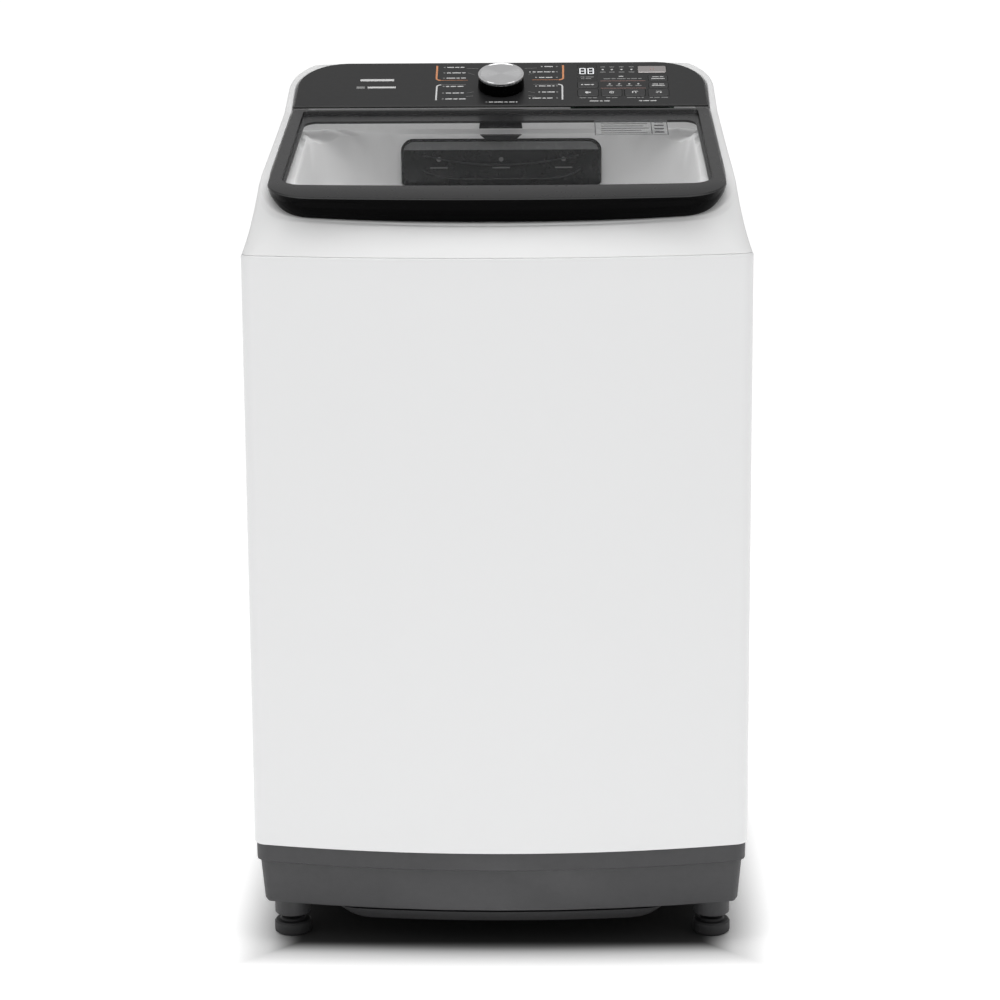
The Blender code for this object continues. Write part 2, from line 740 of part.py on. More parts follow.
def build_lid():
    def low_z(y):
        return min(lid_z(y) - 0.0085, rim_z(y) + 0.0013)

    front, rear = LID_FRONT, LID_REAR

    def ring(inset, f, r, rf, rr, z_of, bow=0.156):
        return [(x, y, z_of(y)) for x, y in lid_outline(inset, f, r, rf, rr, bow)]

    rings = [
        ring(0.0040, front + 0.0250, rear - 0.0035, 0.050, 0.006, lambda y: low_z(y) + 0.0012, 0.24),
        ring(0.0024, front + 0.0200, rear - 0.0020, 0.052, 0.007, low_z, 0.24),
        ring(0.0010, front + 0.0165, rear - 0.0010, 0.054, 0.008, lambda y: low_z(y) + 0.0022, 0.23),
        ring(0.0, front + 0.0010, rear, 0.055, 0.008, lambda y: lid_z(y) - 0.0030),
        ring(0.0004, front - 0.0004, rear, 0.055, 0.008, lambda y: lid_z(y) - 0.0012),
        ring(0.0016, front + 0.0012, rear - 0.0012, 0.054, 0.007, lid_z),
        ring(0.0150, front + 0.0455, rear - 0.0060, 0.026, 0.006, lambda y: lid_z(y) - 0.0006, 0.11),
        ring(0.0155, front + 0.0462, rear - 0.0066, 0.025, 0.006, lambda y: lid_z(y) - 0.0048, 0.11),
        ring(0.0190, front + 0.0510, rear - 0.0230, 0.024, 0.020, lambda y: lid_z(y) - 0.0052, 0.11),
        ring(0.0190, front + 0.0510, rear - 0.0230, 0.024, 0.020, lambda y: lid_z(y) - 0.0080, 0.11),
        ring(0.0110, front + 0.0340, rear - 0.0150, 0.040, 0.010, lambda y: lid_z(y) - 0.0082, 0.16),
    ]
    frame = make("lid_frame", loft(rings, closed=True), BLACK, HINGE, LID_TILT, sharp=30)
    near, far = LID_HALF - 0.0312, LID_HALF + 0.0188
    cut(frame, pin_shape(PIN_R + 0.0004, near, far), pin_shape(PIN_R + 0.0004, -far, -near))
    lens = [
        ring(0.0161, front + 0.0468, rear - 0.0072, 0.0245, 0.0055, lambda y: lid_z(y) - 0.0045, 0.11),
        ring(0.0161, front + 0.0468, rear - 0.0072, 0.0245, 0.0055, lambda y: lid_z(y) - 0.0012, 0.11),
        ring(0.0167, front + 0.0474, rear - 0.0078, 0.0240, 0.0050, lambda y: lid_z(y) - 0.0007, 0.11),
    ]
    make("lid_glass", loft(lens), GLASS, HINGE, LID_TILT)
    near, far = LID_HALF - 0.0142, LID_HALF + 0.0074
    for side, x0, x1 in (("left", -far, -near), ("right", near, far)):
        make(f"hinge_pin_{side}", pin_shape(PIN_R, x0, x1, 0.0006), STEEL, HINGE, LID_TILT)
        x = math.copysign(LID_HALF - 0.0662, x0)
        y = LID_FRONT + 0.0435 + 0.135 * x * x  # midway across the flange, which bows too
        z = lid_z(y) - 0.0086
        bumper = drum(0.0050, z - 0.0050, z - 0.0008, 12, 0.0008, (x, y))
        make(f"lid_bumper_{side}", bumper, RUBBER, HINGE, LID_TILT)


# ---------------------------------------------------------------- tub, drum and drive


def lug_spots():
    return [(x, y) for x in (-ROD_X, ROD_X) for y in (ROD_FRONT, ROD_BACK)]


def build_tub():
    r, wall = TUB_R, 0.0032
    profile = [
        (0.0340, TUB_BOTTOM - 0.012), (0.0420, TUB_BOTTOM - 0.012),
        (0.0420, TUB_BOTTOM), (r - 0.030, TUB_BOTTOM),
        (r - 0.006, TUB_BOTTOM + 0.012), (r, TUB_BOTTOM + 0.036), (r, TUB_TOP), (r - wall, TUB_TOP),
        (r - wall, TUB_BOTTOM + 0.037), (r - 0.009, TUB_BOTTOM + 0.0145), (r - 0.032, TUB_BOTTOM + wall),
        (0.0340, TUB_BOTTOM + wall),
    ]  # fmt: skip
    tub = make("tub", lathe(profile, 36), PLASTIC)
    lugs, bores = [], []
    for x, y in lug_spots():
        angle = math.atan2(y, x)
        reach = math.hypot(x, y)
        arm = slab((r - 0.002, -0.020, LUG_Z), (reach + 0.0155, 0.020, LUG_Z + 0.012), 0.0015)
        lugs.append(moved(arm, Matrix.Rotation(angle, 4, "Z")))
        bores.append(drum(ROD_R + 0.0022, LUG_Z - 0.01, LUG_Z + 0.02, 12, centre=(x, y)))
    add(tub, *lugs)
    cut(tub, *bores)

    top = TUB_TOP + GAP
    cover = [
        (r - 0.0480, top + 0.006), (r - 0.0420, top), (r - 0.0160, top), (r - 0.0160, top - 0.005),
        (r - 0.0128, top - 0.005), (r - 0.0128, top), (r + 0.0035, top), (r + 0.0035, top + 0.0035),
        (r - 0.0090, top + 0.0080), (r - 0.0450, top + 0.0125), (r - 0.0480, top + 0.0110),
    ]  # fmt: skip
    make("tub_cover", lathe(cover, 36), PLASTIC)


def build_basket():
    r, wall = BASKET_R, 0.0016
    low, high = BASKET_BOTTOM, BASKET_TOP
    tall = high - low
    profile = [
        (SHAFT_R + 0.0022, low - 0.062), (0.0165, low - 0.062), (0.0165, low - 0.012), (0.075, low - 0.004),
        (r - 0.034, low), (r - 0.010, low + 0.010), (r, low + 0.034),
        (r, high - 0.030), (r - wall, high - 0.030),
        (r - wall, low + 0.035), (r - 0.012, low + 0.0125), (r - 0.035, low + 0.0025),
        (SHAFT_R + 0.0022, low + 0.0025),
    ]  # fmt: skip
    basket = make("basket", lathe(profile, 36), STEEL)
    vents = []
    for k in range(8):
        turn = Matrix.Rotation(math.pi * (k + 0.5) / 4, 4, "Z")
        for share in (0.259, 0.543):
            z = low + share * tall
            vents.append(moved(slab((r - 0.01, -0.003, z), (r + 0.01, 0.003, z + 0.182 * tall)), turn))
    cut(basket, *vents)
    ring = [
        (r - 0.0340, high - 0.024), (r - 0.0300, high - 0.0295),
        (r + 0.0035, high - 0.0295), (r + 0.0050, high - 0.027),
        (r + 0.0050, high - 0.004), (r + 0.0010, high), (r - 0.0260, high), (r - 0.0340, high - 0.008),
    ]  # fmt: skip
    make("balance_ring", lathe(ring, 36), PLASTIC)
    for side, angle in (("left", math.pi), ("right", 0.0)):
        turn = Matrix.Rotation(angle, 4, "Z")
        reach = math.sqrt((r - wall) ** 2 - 0.042**2) - GAP
        shape = slab((reach - 0.016, -0.042, low + 0.279 * tall), (reach, 0.042, low + 0.725 * tall), 0.005)
        make(f"lint_filter_{side}", moved(shape, turn), PLASTIC)


def build_pulsator():
    low = BASKET_BOTTOM + 0.0025
    r = BASKET_R - 0.064
    profile = [
        (0, low + 0.008), (0.040, low + 0.008), (0.060, low + 0.0052),
        (r - 0.010, low + 0.0035), (r, low + 0.0055),
        (r, low + 0.0085), (r - 0.012, low + 0.0110), (0.090, low + 0.0140), (0.050, low + 0.0240),
        (0.034, low + 0.0440), (0.022, low + 0.0500), (0, low + 0.0510),
    ]  # fmt: skip
    pulsator = make("pulsator", lathe(profile, 24), PLASTIC)
    vanes = []
    for k in range(6):
        ridge = []
        for reach, foot, crest, bottom, top in (
            (0.030, 0.010, 0.004, 0.0100, 0.044),
            (r * 0.523, 0.013, 0.005, 0.0080, 0.030),
            (r - 0.009, 0.010, 0.004, 0.0075, 0.015),
        ):
            corners = ((-foot, bottom), (foot, bottom), (crest, top), (-crest, top))
            ridge.append([(reach, side, low + height) for side, height in corners])
        vanes.append(moved(loft(ridge), Matrix.Rotation(math.pi * k / 3, 4, "Z")))
    add(pulsator, *vanes).modifiers[-1].use_self = True
    shaft = lathe(
        [
            (0, PULLEY_Z - 0.012), (SHAFT_R - 0.001, PULLEY_Z - 0.012), (SHAFT_R, PULLEY_Z - 0.011),
            (SHAFT_R, low + 0.0077), (0, low + 0.0077),
        ],
        20,
    )  # fmt: skip
    make("wash_shaft", shaft, STEEL)


def build_drive():
    """Steel plate, clutch, motor and belt drive under the tub."""
    top = TUB_BOTTOM - 0.012 - GAP
    thick = 0.004
    half = BRACKET_HALF
    plate = make("tub_bracket", slab((0.019 - TUB_R, -half, top - thick), (0.120, half, top), 0.0008), ZINC)
    arm = slab((MOTOR_X - 0.045, -0.060, top - thick), (MOTOR_X + 0.045, MOTOR_Y + 0.055, top), 0.0008)
    back = slab((-0.048, -0.190, top - thick), (0.048, 0.190, top), 0.0008)
    add(plate, arm)
    add(plate, back)
    cut(
        plate,
        drum(0.0178, top - 0.02, top + 0.01, 20),
        drum(0.0085, top - 0.02, top + 0.01, 16, centre=(MOTOR_X, MOTOR_Y)),
    )
    box_top = top - thick - GAP
    clutch = [
        (SHAFT_R + SLIP, PULLEY_Z + 0.030), (0.026, PULLEY_Z + 0.030), (0.028, PULLEY_Z + 0.036),
        (0.058, PULLEY_Z + 0.044), (0.062, PULLEY_Z + 0.050),
        (0.062, box_top - 0.006), (0.070, box_top - 0.004),
        (0.070, box_top), (0.0185, box_top), (0.0185, box_top - 0.022), (SHAFT_R + SLIP, box_top - 0.026),
    ]  # fmt: skip
    make("clutch_housing", lathe(clutch, 24), CASTING)

    z0, z1 = PULLEY_Z, PULLEY_Z + 0.014
    pulley = [
        (SHAFT_R + GAP, z0 - 0.008), (0.020, z0 - 0.008), (0.020, z0 + 0.001), (PULLEY_R - 0.010, z0 + 0.003),
        (PULLEY_R - 0.010, z0), (PULLEY_R + 0.002, z0), (PULLEY_R, z0 + 0.002), (PULLEY_R, z1 - 0.002),
        (PULLEY_R + 0.002, z1), (PULLEY_R - 0.010, z1), (PULLEY_R - 0.010, z0 + 0.007), (0.020, z0 + 0.006),
        (0.020, z1 + 0.004), (SHAFT_R + GAP, z1 + 0.004),
    ]  # fmt: skip
    make("drive_pulley", lathe(pulley, 24), CASTING)
    spot = (MOTOR_X, MOTOR_Y)
    r = MOTOR_PULLEY_R
    small = [
        (0, z0 - 0.003), (r + 0.002, z0 - 0.003), (r + 0.002, z0 - 0.0005), (r, z0 + 0.0015),
        (r, z1 - 0.0015), (r + 0.002, z1 + 0.0005), (r + 0.002, z1 + 0.003),
        (0.0055, z1 + 0.003), (0.0055, z1 + 0.034), (0, z1 + 0.034),
    ]  # fmt: skip
    make("motor_pulley", lathe(small, 16, spot), STEEL, (MOTOR_X, MOTOR_Y, 0))
    low = z1 + 0.022
    motor = [
        (0.0055 + SLIP, low), (0.018, low), (0.020, low + 0.004), (0.054, low + 0.006), (0.058, low + 0.010),
        (0.058, box_top - 0.012), (0.052, box_top - 0.005), (0.024, box_top - 0.004), (0.024, box_top),
        (0.0055 + SLIP, box_top),
    ]  # fmt: skip
    make("motor", lathe(motor, 24, spot), CASTING)

    centre, small_centre = Vector((0, 0, 0)), Vector((MOTOR_X, MOTOR_Y, 0))
    between = small_centre - centre
    heading = math.atan2(between.y, between.x)
    wide, narrow = PULLEY_R + GAP + 0.0014, MOTOR_PULLEY_R + GAP + 0.0014
    open_angle = math.acos((wide - narrow) / between.length)
    z_mid = (z0 + z1) / 2
    path = []
    for k in range(25):
        angle = heading + open_angle + (2 * math.pi - 2 * open_angle) * k / 24
        path.append((wide * math.cos(angle), wide * math.sin(angle), z_mid))
    for k in range(9):
        angle = heading - open_angle + 2 * open_angle * k / 8
        path.append((MOTOR_X + narrow * math.cos(angle), MOTOR_Y + narrow * math.sin(angle), z_mid))
    section = [(-0.0012, -0.0040), (0.0012, -0.0040), (0.0012, 0.0040), (-0.0012, 0.0040)]
    make("drive_belt", sweep(path, section, closed=True), RUBBER)


def build_suspension():
    head = HANGER_Z + 0.005
    for i, (x, y) in enumerate(lug_spots(), 1):
        rod = [
            (0, CUP_Z - 0.008), (0.0055, CUP_Z - 0.008), (0.0055, CUP_Z - 0.003), (0.0160, CUP_Z - 0.003),
            (0.0175, CUP_Z + 0.0015), (0.0160, CUP_Z), (ROD_R, CUP_Z), (ROD_R, head), (0.0085, head),
            (0.0100, head + 0.005), (0.0070, head + 0.011), (0, head + 0.012),
        ]  # fmt: skip
        make(f"suspension_rod_{i}", lathe(rod, 8, (x, y)), ZINC, (x, y, 0))
        turns, steps = 5, 8
        r, wire = 0.0115, 0.0015
        low, high = CUP_Z + GAP + wire, LUG_Z - GAP - wire
        path = []
        for k in range(turns * steps + 1):
            angle = 2 * math.pi * k / steps
            t = k / (turns * steps)
            path.append((x + r * math.cos(angle), y + r * math.sin(angle), low + (high - low) * t))
        make(f"suspension_spring_{i}", sweep(path, circle(wire, 3)), STEEL, (x, y, 0))


def build_plumbing():
    """Pump and hose under the tub, valve at the rear, and the cord gland."""
    top = TUB_BOTTOM - GAP
    x, y = PUMP_X, PUMP_Y
    pump = make("drain_pump", drum(PUMP_R, top - 0.070, top - 0.004, 24, 0.002, (x, y)), PLASTIC)
    add(pump, drum(0.016, top - 0.010, top, 16, centre=(x, y)))
    nozzle = Matrix.Translation((x, y, top - 0.050)) @ QUARTER
    add(pump, moved(drum(0.012, 0.020, 0.058, 16), nozzle))

    wall = BACK - SHEET - GAP - 0.012  # outside of the rear sheet's recess
    turn = Matrix.Translation((OUTLET_X, 0, OUTLET_Z)) @ QUARTER
    out = [
        (0.0125, wall - 0.022), (0.0170, wall - 0.022),
        (0.0170, wall - SHEET - SLIP), (0.0172, wall - SHEET - SLIP),
        (0.0172, wall + SLIP), (0.0160, wall + 0.0115), (0.0125, wall + 0.0115),
    ]  # fmt: skip
    make("drain_outlet", moved(lathe(out, 16), turn), RUBBER)

    start = y + 0.0615  # the hose leaves the nozzle here and turns towards the rear sheet
    reach = BACK - 0.058 - start
    path = [
        (x, start, top - 0.050), (x - 0.053 * reach, start + 0.311 * reach, top - 0.052),
        (x - 0.020, start + 0.656 * reach, top - 0.058), (x - 0.060, start + 0.920 * reach, top - 0.060),
        (0.020, BACK - 0.058, top - 0.056), (-0.060, BACK - 0.058, top - 0.042),
        (-0.110, BACK - 0.058, top - 0.032), (OUTLET_X + 0.012, BACK - 0.052, top - 0.028),
        (OUTLET_X + 0.001, BACK - 0.042, OUTLET_Z), (OUTLET_X, wall - 0.0230, OUTLET_Z),
    ]  # fmt: skip
    make("drain_hose", sweep(path, circle(0.0125, 8)), RUBBER)

    valve = [
        (0, wall - 0.052), (0.0150, wall - 0.052), (0.0180, wall - 0.046), (0.0180, wall - 0.004),
        (0.0220, wall - 0.004), (0.0220, wall - SHEET - GAP), (0.0130, wall - SHEET - GAP),
        (0.0130, wall + 0.0112), (0.0060, wall + 0.0112), (0.0060, wall - 0.004), (0, wall - 0.004),
    ]  # fmt: skip
    turn = Matrix.Translation((INLET_X, 0, FITTING_Z)) @ QUARTER
    make("inlet_valve", moved(lathe(valve, 18), turn), PLASTIC)
    gland = [
        (0.0040, wall - 0.012), (0.0110, wall - 0.012),
        (0.0110, wall - SHEET - GAP), (0.0076, wall - SHEET - GAP),
        (0.0076, wall + GAP), (0.0105, wall + GAP), (0.0085, wall + 0.0100), (0.0040, wall + 0.0100),
    ]  # fmt: skip
    turn = Matrix.Translation((CORD_X, 0, FITTING_Z)) @ QUARTER
    make("cord_gland", moved(lathe(gland, 16), turn), RUBBER)


def main():
    clear()
    build_cabinet()
    build_base()
    build_feet()
    cover = build_cover()
    cut_cover(cover)
    build_dispenser()
    build_chute()
    build_panel()
    build_knob()
    build_lid()
    build_tub()
    build_basket()
    build_pulsator()
    build_drive()
    build_suspension()
    build_plumbing()


main()
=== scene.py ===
"""Looks of the top load washing machine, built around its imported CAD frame. Metres, +Z up."""
import math

import bmesh
import bpy
from mathutils import Matrix, Vector


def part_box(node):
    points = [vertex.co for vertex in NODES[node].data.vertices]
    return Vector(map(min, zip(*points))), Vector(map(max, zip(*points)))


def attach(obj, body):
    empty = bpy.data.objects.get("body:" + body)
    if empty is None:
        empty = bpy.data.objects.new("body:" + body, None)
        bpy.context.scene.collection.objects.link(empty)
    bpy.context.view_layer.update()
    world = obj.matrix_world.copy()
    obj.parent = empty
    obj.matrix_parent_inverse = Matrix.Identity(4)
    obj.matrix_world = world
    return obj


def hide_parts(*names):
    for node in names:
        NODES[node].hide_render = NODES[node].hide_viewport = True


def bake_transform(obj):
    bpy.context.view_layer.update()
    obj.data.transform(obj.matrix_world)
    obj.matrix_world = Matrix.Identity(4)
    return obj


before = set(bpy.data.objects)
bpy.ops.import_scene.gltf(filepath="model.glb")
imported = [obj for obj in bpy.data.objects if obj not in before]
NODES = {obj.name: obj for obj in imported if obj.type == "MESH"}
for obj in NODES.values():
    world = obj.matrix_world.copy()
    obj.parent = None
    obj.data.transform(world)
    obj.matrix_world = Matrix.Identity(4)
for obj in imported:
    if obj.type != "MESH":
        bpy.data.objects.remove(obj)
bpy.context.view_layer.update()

# Sizes read from the frame
SHELL_LOW, SHELL_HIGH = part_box("cabinet_shell")
HALF_W = SHELL_HIGH.x
FRONT = SHELL_LOW.y
BACK = SHELL_HIGH.y
SEAM = SHELL_HIGH.z
BASE_TOP = SHELL_LOW.z
DRAWER_LOW, DRAWER_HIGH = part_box("dispenser_drawer")
BASKET_LOW, BASKET_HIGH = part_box("basket")

# The shapes' own measures
BOW = 0.405
SHEET = 0.0014
COVER_THICK = 0.0026
COVER_SHARP = 42
NODE_SHARP = 30
SEAT_GAP = 0.0011
RIM_BOW = 0.30
LID_TILT = math.radians(12.15)
LID_FRONT = FRONT + 0.0134
LID_FRONT_Z = SEAM + 0.0672
LID_REAR = 0.0575
LID_HALF = HALF_W - 0.0338
LID_FLARE = 0.0036
LID_SHARP = 28
LIP_RINGS = 9
PIN_HOLE_R = 0.0038
LIP_DROP = 0.0324
HINGE_Y = 0.046
PANEL_TILT = math.radians(23.4)
PANEL_FRONT = 0.0655
PANEL_LENGTH = 0.119
PANEL_RISE = 0.0022
RIM_HALF = HALF_W - 0.0210
KNOB_R, KNOB_V, KNOB_H = 0.0295, 0.0505, 0.020
CELL_WALL = 0.0022
DRUM_WALL = 0.0016
DRUM_RIBS, DRUM_RIB_DEPTH = 24, 0.0009
HOLE_ROWS, HOLES_ROUND, HOLE_R = 15, 48, 0.0021
SPRING_R, SPRING_WIRE, SPRING_TURNS = 0.0115, 0.0013, 9

# How finely an outline is cut: along the front, along each side and round each corner
FRONT_STEPS = 56
SIDES = [i / 26 for i in range(1, 26)]
TURN = 14

# Low and high level of printed marks above the panel, its window and its keys
KEY_TOP = 0.0005
ON_PANEL = (-0.00002, 0.00012)
SPOT_ON_PANEL = (-0.00002, 0.00014)
ON_WINDOW = (-0.00014, 0.00010)
ON_KEY = (KEY_TOP - 0.00004, KEY_TOP + 0.00010)
WORD_LENGTHS = (0.0085, 0.0052, 0.0110, 0.0040, 0.0070)

# Camera, light and floor
CAMERA_AT = (0.0593, -3.30, 1.2413)
CAMERA_TURN = (-1.063, 10.469, -0.384)
CAMERA_LENS = 96.246
CAMERA_SHIFT = -0.110
WORLD_LIGHT, WORLD_SEEN = 0.47, 1.05
FLOOR_GLOW = 0.68
FLOOR_HALF, FLOOR_STEPS = 7.0, 28
# The floor's pale colour, and the dark colour of the contact shadow painted under the machine
PALE, FLOOR_SHADOW_COLOUR = (0.90, 0.90, 0.90), (0.05, 0.05, 0.05)


# ---- Materials


def node_of(tree, kind, **values):
    made = tree.nodes.new(kind)
    for key, value in values.items():
        if key.startswith("in_"):
            made.inputs[key[3:].replace("_", " ")].default_value = value
        else:
            setattr(made, key, value)
    return made


def noise(tree, place, scale, detail, rough):
    made = node_of(tree, "ShaderNodeTexNoise", in_Scale=scale, in_Detail=detail, in_Roughness=rough)
    tree.links.new(place, made.inputs["Vector"])
    return made.outputs["Fac"]


def remap(tree, value, near, far, low, high, **more):
    """Carries near to low and far to high."""
    made = node_of(tree, "ShaderNodeMapRange", **more)
    for key, number in (("From Min", near), ("From Max", far), ("To Min", low), ("To Max", high)):
        made.inputs[key].default_value = number
    tree.links.new(value, made.inputs["Value"])
    return made.outputs["Result"]


def mix(tree, factor, first, second):
    """Mixes two colours. The first is a colour or another node's output."""
    made = node_of(tree, "ShaderNodeMix", data_type="RGBA")
    if isinstance(first, tuple):
        made.inputs[6].default_value = (*first, 1.0)
    else:
        tree.links.new(first, made.inputs[6])
    made.inputs[7].default_value = (*second, 1.0)
    tree.links.new(factor, made.inputs[0])
    return made.outputs[2]


def math_node(tree, operation, *values):
    made = node_of(tree, "ShaderNodeMath", operation=operation)
    for slot, value in enumerate(values):
        if isinstance(value, float):
            made.inputs[slot].default_value = value
        else:
            tree.links.new(value, made.inputs[slot])
    return made.outputs["Value"]


def look(
    name, colour, rough, metal=0.0, coat=0.0, coat_rough=0.05, grain=900.0, bump=0.00003, strength=0.3,
    mottle=0.04, mottle_scale=14.0, spread=0.05, wear=0.0, alpha=1.0, specular=0.5, anisotropy=0.0, emit=0.0,
    sheen=0.0, stretch=(1.0, 1.0, 1.0), rings=0.0,
):
    """A procedural finish: mottled colour, uneven roughness, a fine grain, and wear along the edges."""
    made = bpy.data.materials.new(name)
    made.use_nodes = True
    tree = made.node_tree
    shader = tree.nodes["Principled BSDF"]
    link = tree.links.new
    place = node_of(tree, "ShaderNodeTexCoord").outputs["Object"]
    stretched = node_of(tree, "ShaderNodeMapping", in_Scale=stretch)
    link(place, stretched.inputs["Vector"])
    drawn_out = stretched.outputs["Vector"]
    cloudy = noise(tree, drawn_out, mottle_scale, 5.0, 0.6)
    fine = noise(tree, drawn_out, grain, 3.0, 0.55)
    smudge = noise(tree, drawn_out, mottle_scale * 4.3, 8.0, 0.7)

    darker = tuple(c * (1 - mottle) for c in colour)
    lighter = tuple(min(c * (1 + mottle), 1.0) for c in colour)
    tint = mix(tree, cloudy, darker, lighter)
    if wear:
        geometry = node_of(tree, "ShaderNodeNewGeometry")
        edge = remap(tree, geometry.outputs["Pointiness"], 0.51, 0.62, 0.0, wear)
        tint = mix(tree, edge, tint, [min(c * 1.7 + 0.03, 1.0) for c in colour])
    link(tint, shader.inputs["Base Color"])
    uneven = remap(tree, smudge, 0.3, 0.7, max(rough - spread, 0.02), min(rough + spread, 1.0))
    link(uneven, shader.inputs["Roughness"])

    height = fine
    if rings:
        wave = node_of(tree, "ShaderNodeTexWave", wave_type="RINGS", rings_direction="Z", in_Scale=rings)
        link(place, wave.inputs["Vector"])
        height = math_node(tree, "ADD", wave.outputs["Fac"], fine)
    relief = node_of(tree, "ShaderNodeBump", in_Strength=strength, in_Distance=bump)
    link(height, relief.inputs["Height"])
    link(relief.outputs["Normal"], shader.inputs["Normal"])

    for key, value in (
        ("Metallic", metal), ("Coat Weight", coat), ("Coat Roughness", coat_rough), ("IOR", 1.5),
        ("Specular IOR Level", specular), ("Alpha", alpha), ("Sheen Weight", sheen),
    ):
        shader.inputs[key].default_value = value
    if anisotropy:
        shader.inputs["Anisotropic"].default_value = anisotropy
        along = node_of(tree, "ShaderNodeTangent", direction_type="RADIAL", axis="Z")
        link(along.outputs["Tangent"], shader.inputs["Tangent"])
    if emit:
        shader.inputs["Emission Color"].default_value = (*colour, 1.0)
        shader.inputs["Emission Strength"].default_value = emit
    return made


# Settings that several finishes share
PRINTED = {"grain": 3000, "bump": 0.00001, "spread": 0.05}
SMOKED = {"grain": 2800, "bump": 0.00001, "mottle": 0.08, "spread": 0.05}

PAINT = look(
    "painted_sheet", (0.775, 0.777, 0.780), 0.34, coat=0.25, coat_rough=0.12, grain=420, bump=0.00005,
    strength=0.22, mottle=0.006, mottle_scale=5, spread=0.04,
)
COVER = look(
    "white_plastic", (0.775, 0.776, 0.776), 0.36, coat=0.15, coat_rough=0.15, grain=1500, strength=0.25,
    mottle=0.008, mottle_scale=9,
)
# The well's inner white glows a little: painted light that lifts the shaded well
COVER_INNER_GLOW = look(
    "white_inner_painted_glow", (0.90, 0.90, 0.90), 0.42, grain=1500, strength=0.1, mottle=0.008, mottle_scale=9,
    emit=0.14,
)
CHUTE_BLACK = look(
    "chute_black", (0.014, 0.014, 0.015), 0.45, grain=2600, bump=0.00001, strength=0.03, mottle=0.1,
)
PANEL_BLACK = look(
    "panel_satin", (0.0125, 0.0125, 0.0130), 0.36, grain=2600, bump=0.00002, strength=0.25, mottle=0.05,
    mottle_scale=30, spread=0.03, specular=0.45,
)
LID_SATIN = look(
    "lid_satin", (0.0100, 0.0100, 0.0105), 0.30, grain=2800, bump=0.00001, strength=0.04, mottle=0.05,
    mottle_scale=24, spread=0.04,
)
LID_GLOSS = look(
    "lid_gloss", (0.0016, 0.0016, 0.0017), 0.07, grain=700, bump=0.00001, strength=0.03, mottle=0.10,
    mottle_scale=40, spread=0.02, specular=0.02,
)
GLASS = look(
    "tinted_glass", (0.020, 0.022, 0.023), 0.05, grain=5, bump=0.00001, strength=0.05, mottle=0.1,
    mottle_scale=20, spread=0.015, alpha=0.06, specular=0.6,
)
BASE_GREY = look(
    "base_grain", (0.040, 0.040, 0.042), 0.55, grain=1700, bump=0.00010, strength=0.5, mottle=0.06,
    mottle_scale=22, spread=0.07, wear=0.3,
)
TRAY_GREY = look(
    "tray_grain", (0.015, 0.015, 0.016), 0.65, grain=1500, bump=0.00010, strength=0.5, mottle=0.08,
    spread=0.07, wear=0.25,
)
RUBBER = look(
    "rubber", (0.022, 0.022, 0.023), 0.66, grain=1300, bump=0.00012, strength=0.6, mottle=0.15,
    spread=0.1, sheen=0.1, wear=0.3,
)
FOOT_BLACK = look(
    "foot_plastic", (0.016, 0.016, 0.017), 0.55, grain=1400, bump=0.00008, strength=0.5, mottle=0.12,
    spread=0.08, wear=0.35,
)
ZINC = look(
    "zinc_sheet", (0.47, 0.48, 0.49), 0.40, metal=1.0, grain=260, bump=0.00004, mottle=0.16,
    mottle_scale=45, spread=0.12, wear=0.2,
)
STEEL = look(
    "brushed_steel", (0.60, 0.60, 0.61), 0.26, metal=1.0, grain=1800, bump=0.00002, strength=0.35,
    mottle=0.05, mottle_scale=12, spread=0.08, stretch=(1.0, 1.0, 0.06),
)
DRUM_STEEL = look(
    "drum_steel", (0.66, 0.66, 0.67), 0.24, metal=1.0, bump=0.00002, mottle=0.05, mottle_scale=10,
    spread=0.07, stretch=(0.2, 0.2, 1.0),
)
SPUN = look(
    "spun_metal", (0.86, 0.86, 0.87), 0.24, metal=1.0, grain=3000, bump=0.00002, strength=0.25,
    mottle=0.03, mottle_scale=40, spread=0.03, anisotropy=0.88, rings=320,
)
BRIGHT = look(
    "bright_rim", (0.86, 0.86, 0.87), 0.10, metal=1.0, grain=2400, bump=0.00001, strength=0.1,
    mottle=0.02, spread=0.03,
)
WHITE_PART = look(
    "moulded_white", (0.70, 0.70, 0.69), 0.42, grain=1200, bump=0.00005, strength=0.35, mottle=0.03,
    spread=0.06,
)
GREY_PART = look(
    "moulded_grey", (0.42, 0.43, 0.44), 0.45, grain=1100, bump=0.00006, strength=0.4, mottle=0.05,
    spread=0.07, wear=0.15,
)
TUB_GREY = look(
    "tub_plastic", (0.50, 0.51, 0.51), 0.5, bump=0.00008, strength=0.4, mottle=0.06, spread=0.08,
)
CASTING = look(
    "cast_metal", (0.44, 0.44, 0.45), 0.5, metal=0.85, grain=800, bump=0.00018, strength=0.7, mottle=0.12,
    spread=0.1, wear=0.3,
)
# The board's green is darkened to match the shade in the gap under the panel: painted shade
SHADED_BOARD = look(
    "circuit_board_shaded", (0.012, 0.045, 0.022), 0.45, bump=0.00006, strength=0.4, mottle=0.18,
    mottle_scale=90, spread=0.1,
)
SMOKE = look("smoked_plastic", (0.036, 0.037, 0.038), 0.26, strength=0.02, alpha=0.82, **SMOKED)
SMOKE_INNER = look("smoked_inner", (0.090, 0.092, 0.094), 0.34, strength=0.03, **SMOKED)
SMOKE_PALE = look("smoked_pale", (0.34, 0.345, 0.35), 0.26, strength=0.02, alpha=0.90, **SMOKED)
WINDOW = look(
    "display_tint", (0.0045, 0.0045, 0.0050), 0.10, grain=1200, bump=0.00001, strength=0.1, mottle=0.1,
    spread=0.03,
)
KEY_BLACK = look(
    "key_satin", (0.0150, 0.0150, 0.0158), 0.33, grain=2600, bump=0.00002, strength=0.25, mottle=0.05,
    mottle_scale=60, spread=0.04, wear=0.25,
)
